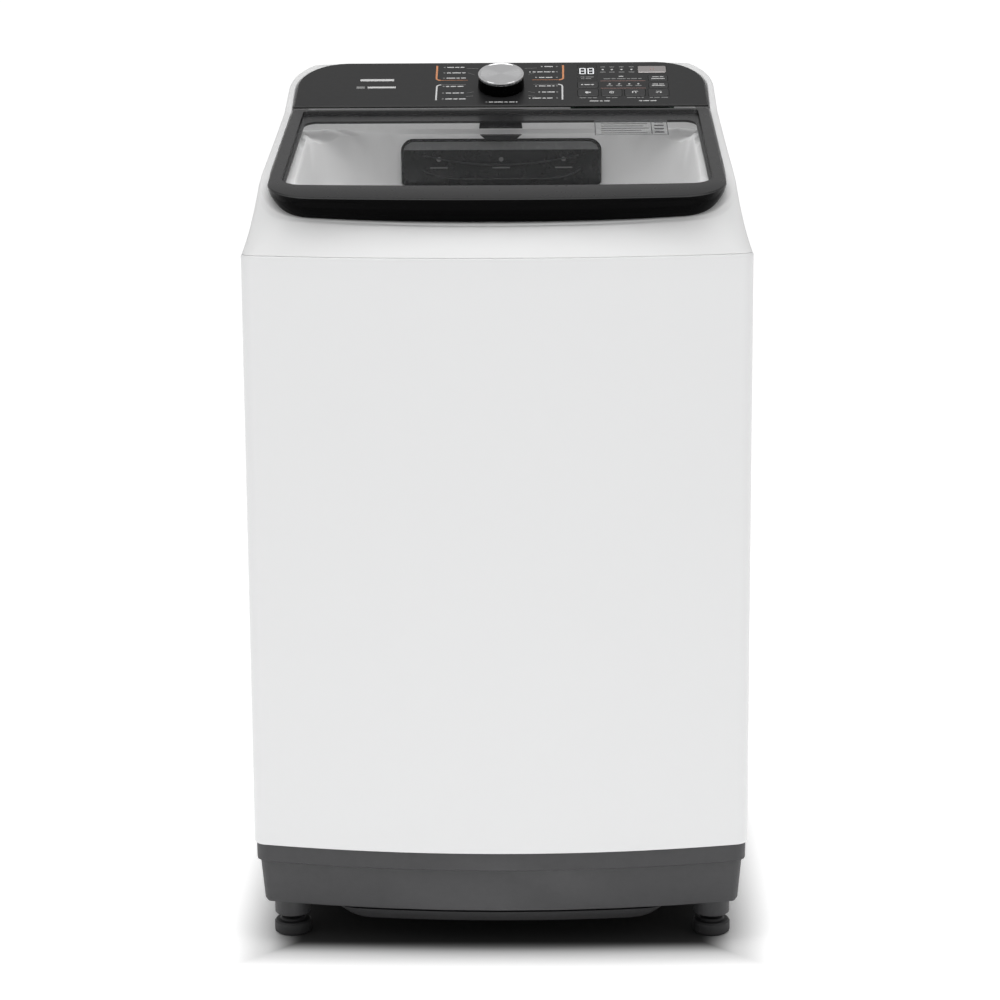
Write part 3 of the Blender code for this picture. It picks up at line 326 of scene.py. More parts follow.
BAR_METAL = look(
    "bar_key_metal", (0.46, 0.43, 0.425), 0.30, metal=0.75, grain=2200, bump=0.00002, mottle=0.06,
    mottle_scale=60, spread=0.06, stretch=(0.05, 1.0, 1.0),
)
PRINT_WHITE = look("print_white", (0.62, 0.62, 0.62), 0.5, mottle=0.05, **PRINTED)
PRINT_GREY = look("print_grey", (0.24, 0.24, 0.24), 0.5, mottle=0.06, **PRINTED)
PRINT_ORANGE = look("print_orange", (0.62, 0.26, 0.12), 0.5, mottle=0.08, **PRINTED)
PRINT_ROSE = look("print_rose", (0.34, 0.20, 0.18), 0.5, mottle=0.08, **PRINTED)
PRINT_DARK = look("print_dark", (0.045, 0.045, 0.047), 0.5, mottle=0.08, **PRINTED)
PRINT_FILM = look(
    "label_film", (0.30, 0.31, 0.32), 0.35, grain=1500, bump=0.00001, strength=0.03, alpha=0.10,
)
GLOW = look("display_glow", (0.80, 0.82, 0.84), 0.5, mottle=0.03, emit=0.35, **PRINTED)
# Dark discs in the drum's holes: painted shade seen through the perforations
HOLE_SHADE = look("drum_hole_shade", (0.030, 0.030, 0.032), 0.6, bump=0.00004, mottle=0.2, spread=0.08)


# ---- Mesh helpers


def add_object(name, data):
    obj = bpy.data.objects.new(name, data)
    bpy.context.scene.collection.objects.link(obj)
    return obj


def turn_faces(mesh, outward=None, again=True):
    """Makes all faces agree. With a rule, they point the way that the rule's sum is above zero."""
    bm = bmesh.new()
    bm.from_mesh(mesh)
    if again:
        bmesh.ops.recalc_face_normals(bm, faces=bm.faces[:])
    if outward and sum(outward(face) * face.calc_area() for face in bm.faces) < 0:
        bmesh.ops.reverse_faces(bm, faces=bm.faces[:])
    bm.to_mesh(mesh)
    bm.free()


def solid_mesh(name, points, faces):
    mesh = bpy.data.meshes.new(name)
    mesh.from_pydata([tuple(p) for p in points], [], faces)
    turn_faces(mesh)
    return mesh


def smooth(mesh, sharp):
    mesh.shade_smooth()
    mesh.set_sharp_from_angle(angle=math.radians(sharp))


def piece(name, shape, body, finish, sharp=32, replaces=(), frame_matrix=None, bevel=0.0):
    """Adds one piece that rides on a body. With a frame matrix, the mesh is kept in that local frame."""
    points, faces = shape
    if frame_matrix is not None:
        inverse = frame_matrix.inverted()
        points = [inverse @ Vector(p) for p in points]
    mesh = solid_mesh(name, points, faces)
    smooth(mesh, sharp)
    obj = add_object(name, mesh)
    if frame_matrix is not None:
        obj.matrix_world = frame_matrix
    mesh.materials.append(finish)
    if bevel:
        round_edges(obj, bevel)
    bpy.context.view_layer.update()
    if body:
        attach(obj, body)
    if replaces:
        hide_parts(*replaces)
    return obj


def round_edges(obj, width, segments=3, angle=32):
    modifier = obj.modifiers.new("round", "BEVEL")
    modifier.width = width
    modifier.segments = segments
    modifier.limit_method = "ANGLE"
    modifier.angle_limit = math.radians(angle)
    modifier.harden_normals = True


def loft(rings, closed=False, caps=True):
    count = len(rings[0])
    faces = []
    for i in range(len(rings) if closed else len(rings) - 1):
        a, b = i * count, (i + 1) % len(rings) * count
        for k in range(count):
            m = (k + 1) % count
            faces.append((a + k, a + m, b + m, b + k))
    if caps and not closed:
        last = (len(rings) - 1) * count
        faces += [tuple(range(count)), tuple(range(last, last + count))]
    return [Vector(p) for ring in rings for p in ring], faces


def grid(rows):
    count = len(rows[0])
    faces = []
    for i in range(len(rows) - 1):
        for k in range(count - 1):
            a = i * count + k
            faces.append((a, a + 1, a + count + 1, a + count))
    return [Vector(p) for row in rows for p in row], faces


def lathe(profile, segments, wave=None):
    """Turns a closed (radius, height) profile about the vertical axis. The wave adds to the radius."""
    points, index = [], []
    for r, z in profile:
        if r < 1e-6:
            index.append([len(points)] * segments)
            points.append(Vector((0.0, 0.0, z)))
            continue
        index.append([len(points) + k for k in range(segments)])
        for k in range(segments):
            angle = 2 * math.pi * k / segments
            reach = r + (wave(angle, r, z) if wave else 0.0)
            points.append(Vector((reach * math.cos(angle), reach * math.sin(angle), z)))
    faces = []
    for i, ring in enumerate(index):
        after = index[(i + 1) % len(index)]
        for k in range(segments):
            m = (k + 1) % segments
            face = []
            for v in (ring[k], ring[m], after[m], after[k]):
                if v not in face:
                    face.append(v)
            if len(face) > 2:
                faces.append(tuple(face))
    return points, faces


def slab(low, high):
    spans = list(zip(low, high))
    corners = [Vector((x, y, z)) for x in spans[0] for y in spans[1] for z in spans[2]]
    return corners, [(0, 1, 3, 2), (4, 6, 7, 5), (0, 4, 5, 1), (2, 3, 7, 6), (0, 2, 6, 4), (1, 5, 7, 3)]


def moved(shape, matrix):
    return [matrix @ Vector(p) for p in shape[0]], shape[1]


def merged(*shapes):
    points, faces = [], []
    for shape in shapes:
        start = len(points)
        points += [Vector(p) for p in shape[0]]
        faces += [tuple(i + start for i in face) for face in shape[1]]
    return points, faces


def tube(path, radius, sides=8):
    """A round tube along a path that keeps away from vertical, with both ends capped.

    The radius is one value, or one for each point of the path.
    """
    radii = radius if isinstance(radius, list) else [radius] * len(path)
    rings = []
    for i, (point, r) in enumerate(zip(path, radii)):
        before = Vector(path[max(i - 1, 0)])
        after = Vector(path[min(i + 1, len(path) - 1)])
        along = (after - before).normalized()
        side = along.cross(Vector((0, 0, 1)))
        side = side.normalized() if side.length > 0.05 else Vector((1, 0, 0))
        up = side.cross(along)
        ring = []
        for k in range(sides):
            angle = 2 * math.pi * k / sides
            ring.append(Vector(point) + side * r * math.cos(angle) + up * r * math.sin(angle))
        rings.append(ring)
    return loft(rings)


def apply_all(obj):
    """Turns the object's modifiers into its mesh."""
    bpy.context.view_layer.update()
    graph = bpy.context.evaluated_depsgraph_get()
    mesh = bpy.data.meshes.new_from_object(obj.evaluated_get(graph), depsgraph=graph)
    obj.modifiers.clear()
    obj.data = mesh


def carve(obj, *shapes):
    """Cuts shapes out of an object for good."""
    name = obj.name + "_cutter"
    cutter = add_object(name, solid_mesh(name, *merged(*shapes)))
    modifier = obj.modifiers.new("cut", "BOOLEAN")
    modifier.operation = "DIFFERENCE"
    modifier.solver = "EXACT"
    modifier.object = cutter
    apply_all(obj)
    bpy.data.objects.remove(cutter)


def thicken(obj, thickness):
    thick = obj.modifiers.new("thick", "SOLIDIFY")
    thick.thickness = thickness
    thick.offset = -1


def dress(node, finish, bevel):
    """Smooths a CAD node's shading and gives it a finish. Its own points stay as they are."""
    obj = NODES[node]
    mesh = obj.data
    if "custom_normal" in mesh.attributes:
        mesh.attributes.remove(mesh.attributes["custom_normal"])
    mesh.shade_smooth()
    weld = obj.modifiers.new("weld", "WELD")
    weld.merge_threshold = 0.000005
    if bevel:
        round_edges(obj, bevel, 2, NODE_SHARP)
    split = obj.modifiers.new("edges", "EDGE_SPLIT")
    split.split_angle = math.radians(NODE_SHARP)
    split.use_edge_sharp = False
    mesh.materials.clear()
    mesh.materials.append(finish)


# ---- Outlines and planes


def blend(t):
    t = min(max(t, 0.0), 1.0)
    return t * t * (3 - 2 * t)


def plan(half, front, back, r_front, r_back, bow=BOW):
    """Outline with a bowed front, straight sides and a flat back, anticlockwise from the front's left end."""
    x_end = half - r_front
    for _ in range(4):
        lean = math.atan(2 * bow * x_end)
        x_end = half - r_front * (1 - math.sin(lean))
    cx, cy = half - r_front, front + bow * x_end**2 + r_front * math.cos(lean)
    right = []
    for k in range(1, TURN + 1):
        angle = -math.pi / 2 + lean + (math.pi / 2 - lean) * k / TURN
        right.append((cx + r_front * math.cos(angle), cy + r_front * math.sin(angle)))
    top = back - r_back
    right += [(half, cy + (top - cy) * s) for s in SIDES]
    for k in range(TURN + 1):
        angle = math.pi / 2 * k / TURN
        right.append((half - r_back + r_back * math.cos(angle), top + r_back * math.sin(angle)))
    nose = [x_end * (2 * k / FRONT_STEPS - 1) for k in range(FRONT_STEPS + 1)]
    return [(x, front + bow * x * x) for x in nose] + right + [(-x, y) for x, y in reversed(right)]


def lid_z(y):
    return LID_FRONT_Z + (y - LID_FRONT) * math.tan(LID_TILT)


PANEL_EDGE = Matrix.Translation((0, PANEL_FRONT, lid_z(PANEL_FRONT) - 0.0005 + PANEL_RISE))
PANEL = PANEL_EDGE @ Matrix.Rotation(PANEL_TILT, 4, "X")
PANEL_TOP_Y = (PANEL @ Vector((0, PANEL_LENGTH, 0))).y
RIDGE_Y = PANEL_TOP_Y + 0.012
HINGE = Vector((0.0, HINGE_Y, lid_z(HINGE_Y) - 0.010))


def panel_z(y):
    return PANEL.translation.z + (y - PANEL_FRONT) * math.tan(PANEL_TILT)


def rim_z(y):
    if y < PANEL_FRONT:
        return lid_z(y) - 0.003 - LIP_DROP * blend((FRONT + 0.125 - y) / 0.100)
    return min(panel_z(y) - 0.003, panel_z(PANEL_TOP_Y) - 0.0025)


def flank(z):
    h = max(z - SEAM, 0.0)
    return HALF_W - 0.0012 - 0.0235 * (1 - math.exp(-h / 0.070)) - 0.012 * h


def rim_ring(inset, drop):
    outline = plan(RIM_HALF - inset, FRONT + 0.030 + inset, RIDGE_Y + 0.006 - inset, max(0.060 - inset, 0.02),
                   max(0.072 - inset, 0.02), bow=RIM_BOW)
    ring = []
    for x, y in outline:
        z = rim_z(y)
        ring.append((x * (flank(z) - inset) / (RIM_HALF - inset), y, z - drop))
    return ring


def flank_ring(t):
    base = plan(HALF_W - 0.0012, FRONT + 0.0012, BACK - 0.0012, 0.018, 0.020)
    ring = []
    half = HALF_W - 0.0012
    for (xb, yb), (xt, yt, zt) in zip(base, rim_ring(0.0, 0.0)):
        z = SEAM + 0.0005 + (zt - SEAM - 0.0005) * t
        across = xb / half + (xt / flank(zt) - xb / half) * t
        bulge = t if yb < 0.05 else t + (t * t - t) * blend((yb - 0.05) / 0.2)
        ring.append((across * flank(z), yb + (yt - yb) * bulge, z))
    return ring


def well_z(y):
    """Floor of the well: deeper at the hinge, where the lid's rear edge swings down."""
    if y < PANEL_FRONT - 0.012:
        return rim_z(y) - 0.0135 - 0.0115 * blend((y - PANEL_FRONT + 0.0600) / 0.03)
    return min(rim_z(y), panel_z(y) - 0.003) - 0.0275 - 0.0180 * blend((y - PANEL_FRONT - 0.001) / 0.045)


def flare(y):
    """How much wider the lid and its seat are than their rear, on each side."""
    return LID_FLARE * min(max((0.05 - y) / 0.28, 0.0), 1.0)


def seat_outline():
    half = LID_HALF + SEAT_GAP
    outline = plan(half, FRONT + 0.0385, RIDGE_Y - 0.0075, 0.052, 0.0635, bow=RIM_BOW)
    return [(x * (half + flare(y)) / half, y) for x, y in outline]


# ---- White sheet and cover


def build_cabinet():
    levels = [(0.0012, BASE_TOP), (0.0004, BASE_TOP + 0.0005), (0.0, BASE_TOP + 0.0015)]
    steps = 24
    low, high = BASE_TOP + 0.004, SEAM - 0.004
    levels += [(0.0, low + (high - low) * k / steps) for k in range(steps + 1)]
    levels += [(0.0001, SEAM - 0.0022), (0.0006, SEAM - 0.0009), (0.0014, SEAM - 0.0002)]
    levels += [(0.0030, SEAM), (0.0110, SEAM)]
    # The sheet stays open at the back, so each ring starts behind the rear left corner
    start = FRONT_STEPS + 1 + TURN + len(SIDES) + TURN + 1
    rows = []
    for inset, z in levels:
        r_front, r_back = max(0.018 - inset, 0.004), max(0.020 - inset, 0.004)
        ring = plan(HALF_W - inset, FRONT + inset, BACK - inset, r_front, r_back)
        y = BACK - inset
        path = [(-HALF_W + 0.036, y)] + ring[start:] + ring[:start] + [(HALF_W - 0.036, y)]
        rows.append([(x, yy, z) for x, yy in path])
    sheet = piece("cabinet_sheet", grid(rows), "cabinet", PAINT, sharp=40, replaces=("cabinet_shell",))
    turn_faces(sheet.data, lambda face: face.normal.xy.dot(face.calc_center_median().xy))
    thicken(sheet, SHEET)
    apply_all(sheet)
    plates = []
    for x in (-1, 1):
        for y in (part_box("suspension_rod_1")[0].y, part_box("suspension_rod_2")[0].y):
            xs = sorted((x * (HALF_W - 0.0016), x * (HALF_W - 0.083)))
            plates.append(slab((xs[0], y - 0.014, SEAM - 0.048), (xs[1], y + 0.046, SEAM - 0.044)))
    piece("hanger_plates", merged(*plates), "cabinet", ZINC, bevel=0.0006)


def ledge(y):
    """Height of the step inside the well."""
    if y < PANEL_FRONT - 0.012:
        return well_z(min(y, PANEL_FRONT - 0.0125)) - 0.0012
    return well_z(PANEL_FRONT)


def build_cover():
    rings = [flank_ring(t) for t in (0.0, 0.012)]
    rings += [flank_ring(0.04 + 0.84 * k / 12) for k in range(13)]
    rings.append(flank_ring(0.92))
    rounded = ((0.0003, 0.0021), (0.0009, 0.0010), (0.0019, 0.0003), (0.0035, 0.0), (0.0055, 0.0001))
    rings += [rim_ring(inset, drop) for inset, drop in rounded]
    seat = seat_outline()
    rings.append([(x * 1.003, y, rim_z(y) - 0.0002) for x, y in seat])
    rings.append([(x, y, rim_z(y) - 0.0012) for x, y in seat])
    rings.append([(x * 0.9985, y, well_z(y) + 0.0012) for x, y in seat])
    inner_from = len(rings)
    rings.append([(x * 0.9975, y, well_z(y)) for x, y in seat])

    # The mouth over the drum: half width, front and rear edges, corner radii, bow, height
    middle = SEAM + 0.024
    for half, front, rear, r_front, r_rear, bow, z_of in (
        (0.2390, 0.0630, 0.010, 0.060, 0.060, 0.25, ledge),
        (0.2376, 0.0652, 0.014, 0.063, 0.075, 0.25, lambda y: ledge(y) - 0.0015),
        (0.2362, 0.0680, 0.022, 0.075, 0.110, 0.25, lambda y: ledge(y) - 0.007),
        (0.2310, 0.0730, 0.027, 0.098, 0.128, 0.17, lambda y: (ledge(y) - 0.007 + middle) * 0.5),
        (0.2250, 0.0800, 0.030, 0.120, 0.140, 0.10, lambda y: middle),
        (0.2150, 0.0940, 0.033, 0.138, 0.134, 0.07, lambda y: SEAM + 0.0155),
        (0.2000, 0.1120, 0.034, 0.150, 0.120, 0.05, lambda y: SEAM + 0.010),
    ):
        outline = plan(half, FRONT + front, PANEL_FRONT + rear, r_front, r_rear, bow=bow)
        rings.append([(x, y, z_of(y)) for x, y in outline])
    shape = loft(rings, caps=False)
    cover = piece("cover_shell", shape, "cabinet", COVER, sharp=COVER_SHARP, replaces=("top_cover",))
    turn_faces(cover.data, lambda face: face.normal.z, again=False)
    # The well's inner faces take the glowing inner white, a painted light
    cover.data.materials.append(COVER_INNER_GLOW)
    for face in cover.data.polygons:
        if min(face.vertices) // len(seat) >= inner_from:
            face.material_index = 1
    thicken(cover, COVER_THICK)
    window = loft([fascia_outline(-0.0012, DRAWER_LOW.y + y) for y in (-0.020, 0.034)])
    carve(cover, window, pin(0.2520, 0.2700), pin(-0.2700, -0.2520))
    smooth(cover.data, COVER_SHARP)


def build_back_wall():
    """The cover's wall under the panel's front edge, with the black apron of the water chute on it."""
    half, y0, y1 = 0.2570, PANEL_FRONT + 0.0008, PANEL_FRONT + 0.0030
    low, high = well_z(PANEL_FRONT) + 0.0006, panel_z(PANEL_FRONT) - 0.0052
    rows = []
    for y in (y0, y1):
        rows.append([
            (-half + 0.004, y, low), (half - 0.004, y, low), (half, y, low + 0.004),
            (half, y, high), (-half, y, high), (-half, y, low + 0.004),
        ])
    # This wall takes the glowing inner white too, a painted light
    piece("cover_wall", loft(rows), "cabinet", COVER_INNER_GLOW, bevel=0.0004)
    apron = []
    for y, grow in ((y0 - 0.0026, -0.0008), (y0 - 0.0018, 0.0), (y0 - 0.0003, 0.0)):
        apron.append([
            (-0.0272 - grow, y, low + 0.0010 - grow), (0.0272 + grow, y, low + 0.0010 - grow),
            (0.0245 + grow, y, high), (-0.0245 - grow, y, high),
        ])
    piece("chute_apron", loft(apron), "cabinet", CHUTE_BLACK, bevel=0.0003)


def pin(x0, x1):
    """Room for a hinge pin between two places along the hinge."""
    profile = [(0, x0), (PIN_HOLE_R, x0), (PIN_HOLE_R, x1), (0, x1)]
    return moved(lathe(profile, 20), Matrix.Translation(HINGE) @ Matrix.Rotation(math.pi / 2, 4, "Y"))


# ---- Lid


def lid_outline(inset, front, rear, r_front, r_rear, bow):
    ring = []
    for x, y in plan(LID_HALF - inset, front, rear, r_front, r_rear, bow=bow):
        ring.append((x * (1 + flare(y) / (LID_HALF - inset)), y))
    return ring


def lid_ring(inset, front, rear, r_front, r_rear, z_of, bow=0.156):
    outline = lid_outline(inset, LID_FRONT + front, LID_REAR - rear, r_front, r_rear, bow)
    return [(x, y, z_of(y)) for x, y in outline]


def build_lid():
    def low_z(y):
        return min(lid_z(y) - 0.0085, rim_z(y) + 0.0013)

    def under(drop):
        return lambda y: lid_z(y) - drop

    def border(z_of):
        """The black border's inner edge, whose rear side dips towards the corners."""
        ring = []
        for x, y, _ in lid_ring(0.0190, 0.0510, 0.0185, 0.024, 0.016, z_of, 0.11):
            dip = 0.0150 * blend((abs(x) - 0.06) / 0.13) * blend((y + 0.05) / 0.08)
            ring.append((x, y - dip, z_of(y - dip)))
        return ring

    def between(t):
        return lambda y: (low_z(y) + 0.0022) * (1 - t) + (lid_z(y) - 0.0030) * t

    rings = [
        lid_ring(0.0040, 0.0250, 0.0035, 0.050, 0.006, lambda y: low_z(y) + 0.0012, 0.24),
        lid_ring(0.0031, 0.0222, 0.0027, 0.051, 0.006, lambda y: low_z(y) + 0.0002, 0.24),
        lid_ring(0.0024, 0.0200, 0.0020, 0.052, 0.007, low_z, 0.24),
        lid_ring(0.0015, 0.0178, 0.0014, 0.053, 0.0075, lambda y: low_z(y) + 0.0007, 0.235),
        lid_ring(0.0010, 0.0165, 0.0010, 0.054, 0.008, between(0.0), 0.23),
        lid_ring(0.0007, 0.0128, 0.0007, 0.0542, 0.008, between(0.22), 0.213),
        lid_ring(0.0004, 0.0088, 0.0004, 0.0545, 0.008, between(0.46), 0.193),
        lid_ring(0.0001, 0.0049, 0.0001, 0.0548, 0.008, between(0.72), 0.174),
        lid_ring(0.0, 0.0010, 0.0, 0.055, 0.008, under(0.0030)),
        lid_ring(0.0001, -0.0001, 0.0, 0.055, 0.008, under(0.0021)),
        lid_ring(0.0004, -0.0004, 0.0, 0.055, 0.008, under(0.0012)),
        lid_ring(0.0009, 0.0001, 0.0005, 0.0545, 0.0075, under(0.0004)),
        lid_ring(0.0016, 0.0012, 0.0012, 0.054, 0.007, under(0.0)),
        lid_ring(0.0146, 0.0448, 0.0056, 0.0265, 0.006, under(0.0), 0.112),
        lid_ring(0.0150, 0.0455, 0.0060, 0.026, 0.006, under(0.0006), 0.11),
        lid_ring(0.0155, 0.0462, 0.0066, 0.025, 0.006, under(0.0048), 0.11),
        border(under(0.0052)),
        border(under(0.0080)),
        lid_ring(0.0110, 0.0340, 0.0150, 0.040, 0.010, under(0.0082), 0.16),
    ]
    shape = loft(rings, closed=True)
    surround = piece("lid_surround", shape, "lid", LID_SATIN, sharp=LID_SHARP, replaces=("lid_frame",))
    surround.data.materials.append(LID_GLOSS)
    for face in surround.data.polygons:
        if max(face.vertices) // len(rings[0]) <= LIP_RINGS:
            face.material_index = 1
    carve(surround, pin(0.2300, 0.2800), pin(-0.2800, -0.2300))
    smooth(surround.data, LID_SHARP)
    lens = [
        lid_ring(0.0161, 0.0468, 0.0072, 0.0245, 0.0055, under(0.0045), 0.11),
        lid_ring(0.0161, 0.0468, 0.0072, 0.0245, 0.0055, under(0.0012), 0.11),
        lid_ring(0.0163, 0.0470, 0.0074, 0.0243, 0.0053, under(0.0008), 0.11),
        lid_ring(0.0167, 0.0474, 0.0078, 0.0240, 0.0050, under(0.0007), 0.11),
    ]
    piece("lid_pane", loft(lens), "lid", GLASS, replaces=("lid_glass",))


def on_glass(x, y):
    return Vector((x, y, lid_z(y) - 0.00068))


def glass_tile(x0, y0, x1, y1, lift=0.0, thick=0.00006):
    base = [on_glass(x, y) for x, y in ((x0, y0), (x1, y0), (x1, y1), (x0, y1))]
    return loft([[p + Vector((0, 0, lift)) for p in base], [p + Vector((0, 0, lift + thick)) for p in base]])


def build_label():
    """A clear film with plain bars, at the rear right of the glass."""
    x0, x1, y0, y1 = 0.1165, 0.2060, -0.0510, 0.0110
    piece("label_film", glass_tile(x0, y0, x1, y1), "lid", PRINT_FILM)
    edge = 0.0011
    bars = [
        (x0, y0, x1, y0 + edge), (x0, y1 - edge, x1, y1),
        (x0, y0, x0 + edge, y1), (x1 - edge, y0, x1, y1),
    ]
    for k, reach in enumerate((0.056, 0.049, 0.058, 0.052, 0.057, 0.044)):
        y = y0 + 0.0068 + 0.0092 * k
        bars.append((x0 + 0.0080, y, x0 + 0.0080 + reach, y + 0.0022))
    bars.append((x1 - 0.0205, y0 + 0.004, x1 - 0.0195, y1 - 0.004))
    for k in range(4):
        y = y0 + 0.008 + 0.0135 * k
        bars.append((x1 - 0.0165, y, x1 - 0.0050, y + 0.0050))
    piece("label_bars", merged(*[glass_tile(*box, lift=0.00007) for box in bars]), "lid", PRINT_DARK)


# ---- Control panel


def raised(ring, heights):
    """An outline of (across, up) points on the panel, drawn out between two heights above it."""
    return moved(loft([[(u, v, height) for u, v in ring] for height in heights]), PANEL)


def circle(u, v, r, count):
    angles = [2 * math.pi * k / count for k in range(count)]
    return [(u + r * math.cos(a), v + r * math.sin(a)) for a in angles]


def bar(u0, v0, u1, v1, heights=ON_PANEL):
    return raised([(u0, v0), (u1, v0), (u1, v1), (u0, v1)], heights)


def spot(u, v, r, heights=SPOT_ON_PANEL):
    return raised(circle(u, v, r, 12), heights)


def stroke(path, width):
    """A flat line of even width along (across, up) points."""
    left, right = [], []
    for i, (u, v) in enumerate(path):
        before = path[max(i - 1, 0)]
        after = path[min(i + 1, len(path) - 1)]
        along = Vector((after[0] - before[0], after[1] - before[1])).normalized()
        side = Vector((-along.y, along.x)) * width / 2
        left.append((u + side.x, v + side.y))
        right.append((u - side.x, v - side.y))
    ring = left + right[::-1]
    count = len(path)
    points = [PANEL @ Vector((u, v, height)) for height in ON_PANEL for u, v in ring]
    total = len(ring)
    faces = []
    for k in range(total):
        m = (k + 1) % total
        faces.append((k, m, total + m, total + k))
    for k in range(count - 1):
        a, b, c, d = k, k + 1, total - 2 - k, total - 1 - k
        faces.append((a, d, c, b))
        faces.append((total + a, total + b, total + c, total + d))
    return points, faces


def words(u0, u1, v, height=0.0019, start=0, heights=ON_PANEL):
    """A row of plain bars in place of a printed line."""
    bars, u, k = [], u0, start
    while u < u1 - 0.0015:
        end = min(u + WORD_LENGTHS[k % len(WORD_LENGTHS)], u1)
        bars.append(bar(u, v - height / 2, end, v + height / 2, heights))
        u = end + 0.0017
        k += 1
    return bars


def bracket(side, u, v_start, v_turn, reach):
    """An upright that ends in a rounded turn towards the labels, and the thin line that goes on from it."""
    r = 0.0055
    away = 1 if v_start > v_turn else -1
    path = [(u, v_start)]
    for k in range(7):
        angle = math.pi / 2 * k / 6
        path.append((u - side * r * (1 - math.cos(angle)), v_turn + away * r * (1 - math.sin(angle))))
    return path, [(u - side * r, v_turn), (u - side * reach, v_turn)]


def build_prints():
    white, grey, orange, rose = [], [], [], []
    # Programme labels on both sides of the knob
    left = (
        (0.1050, -0.0480), (0.0895, -0.0462), (0.0750, -0.0455),
        (0.0520, -0.0480), (0.0340, -0.0470), (0.0180, -0.0445),
    )
    right = (
        (0.1060, 0.0550), (0.0910, 0.0400), (0.0755, 0.0480),
        (0.0520, 0.0480), (0.0355, 0.0520), (0.0190, 0.0400),
    )
    for k, (v, end) in enumerate(left):
        white += words(-0.0700, end, v, 0.0022, k)
        grey.append(spot(-0.0733, v, 0.0013))
    for k, (v, begin) in enumerate(right):
        white += words(begin, 0.0680, v, 0.0022, k + 2)
        grey.append(spot(0.0710, v, 0.0013))
        white.append(spot(begin - 0.0035, v, 0.0011))
    for side, u in ((-1, -0.0830), (1, 0.0790)):
        path, thin = bracket(side, u, 0.1095, 0.0690, 0.0400)
        orange += [stroke(path, 0.0024), stroke(thin, 0.0007)]
        path, thin = bracket(side, u - 0.0012 * side, 0.0150, 0.0565, 0.0370)
        white.append(stroke(path, 0.0020))
        grey.append(stroke(thin, 0.0007))
    # Lines from the knob to its labels
    for side in (-1, 1):
        for v0, v1 in ((0.0895, 0.0840), (0.0340, 0.0370)):
            grey.append(stroke([(side * 0.0430, v0), (side * 0.0345, v1)], 0.0005))
        grey.append(stroke([(side * 0.0450, 0.1020), (side * 0.0300, 0.1010)], 0.0006))
        grey.append(stroke([(side * 0.0440, 0.0240), (side * 0.0350, 0.0260)], 0.0006))
    white += words(-0.0150, 0.0210, 0.0090, 0.0019, 1)
    grey.append(spot(-0.0180, 0.0090, 0.0012))
    # Plain name bars at the left
    white.append(bar(-0.1800, 0.0675, -0.1370, 0.0730))
    white.append(bar(-0.1700, 0.0480, -0.1340, 0.0525))
    grey.append(bar(-0.1840, 0.0475, -0.1735, 0.0530))
    # Indicator rows between the keys
    for u in (0.1300, 0.1416, 0.1540, 0.1667):
        white.append(spot(u, 0.0965, 0.0015))
        grey.append(bar(u - 0.0030, 0.1030, u + 0.0030, 0.1048))
        grey.append(bar(u - 0.0036, 0.0885, u + 0.0036, 0.0903))
    grey += words(0.1306, 0.1790, 0.0710, 0.0021, 0)
    white.append(bar(0.1500, 0.0765, 0.1560, 0.0785))
    for v in (0.0650, 0.0450):
        rose.append(bar(0.1265, v - 0.0004, 0.1835, v + 0.0004))
    for u in (0.1380, 0.1500, 0.1630, 0.1745):
        white.append(spot(u, 0.0565, 0.0014))
        grey.append(bar(u - 0.0038, 0.0510, u + 0.0038, 0.0530))
    # Captions under the lower keys
    captions = ((0.1104, 0.0110), (0.1400, 0.0070), (0.1697, 0.0105), (0.1993, 0.0115))
    for k, (u, half) in enumerate(captions):
        grey += words(u - half, u + half, 0.0192, 0.0019, k)
    white += words(0.1120, 0.1390, 0.0105, 0.0019, 2)
    white += words(0.1740, 0.1960, 0.0105, 0.0019, 3)
    for colour, shapes, finish in (
        ("white", white, PRINT_WHITE), ("grey", grey, PRINT_GREY), ("orange", orange, PRINT_ORANGE),
        ("rose", rose, PRINT_ROSE),
    ):
        piece("panel_print_" + colour, merged(*shapes), "cabinet", finish)


def figure(u, v, wide, tall, thick):
    """The seven bars of one figure."""
    half = tall / 2
    gap = thick * 0.25
    places = [
        (u + thick, v + tall - thick, u + wide - thick, v + tall),
        (u + wide - thick, v + half + gap, u + wide, v + tall - gap),
        (u + wide - thick, v + gap, u + wide, v + half - gap),
        (u + thick, v, u + wide - thick, v + thick),
        (u, v + gap, u + thick, v + half - gap),
        (u, v + half + gap, u + thick, v + tall - gap),
        (u + thick, v + half - thick / 2, u + wide - thick, v + half + thick / 2),
    ]
    return [bar(*place, ON_WINDOW) for place in places]


def build_display():
    bars = []
    for u in (0.1000, 0.1105):
        bars += figure(u, 0.0845, 0.0080, 0.0165, 0.0014)
    piece("display_figures", merged(*bars), "cabinet", GLOW)
    small = words(0.1010, 0.1180, 0.0762, 0.0018, 1, ON_WINDOW)
    small += words(0.1020, 0.1170, 0.0718, 0.0018, 3, ON_WINDOW)
    piece("display_caption", merged(*small), "cabinet", PRINT_GREY)


def ring_mark(u, v, r, width):
    outer, inner = circle(u, v, r, 20), circle(u, v, r - width, 20)
    low, high = ON_KEY
    levels = ((outer, low), (outer, high), (inner, high), (inner, low))
    return moved(loft([[(a, b, height) for a, b in ring] for ring, height in levels], closed=True), PANEL)


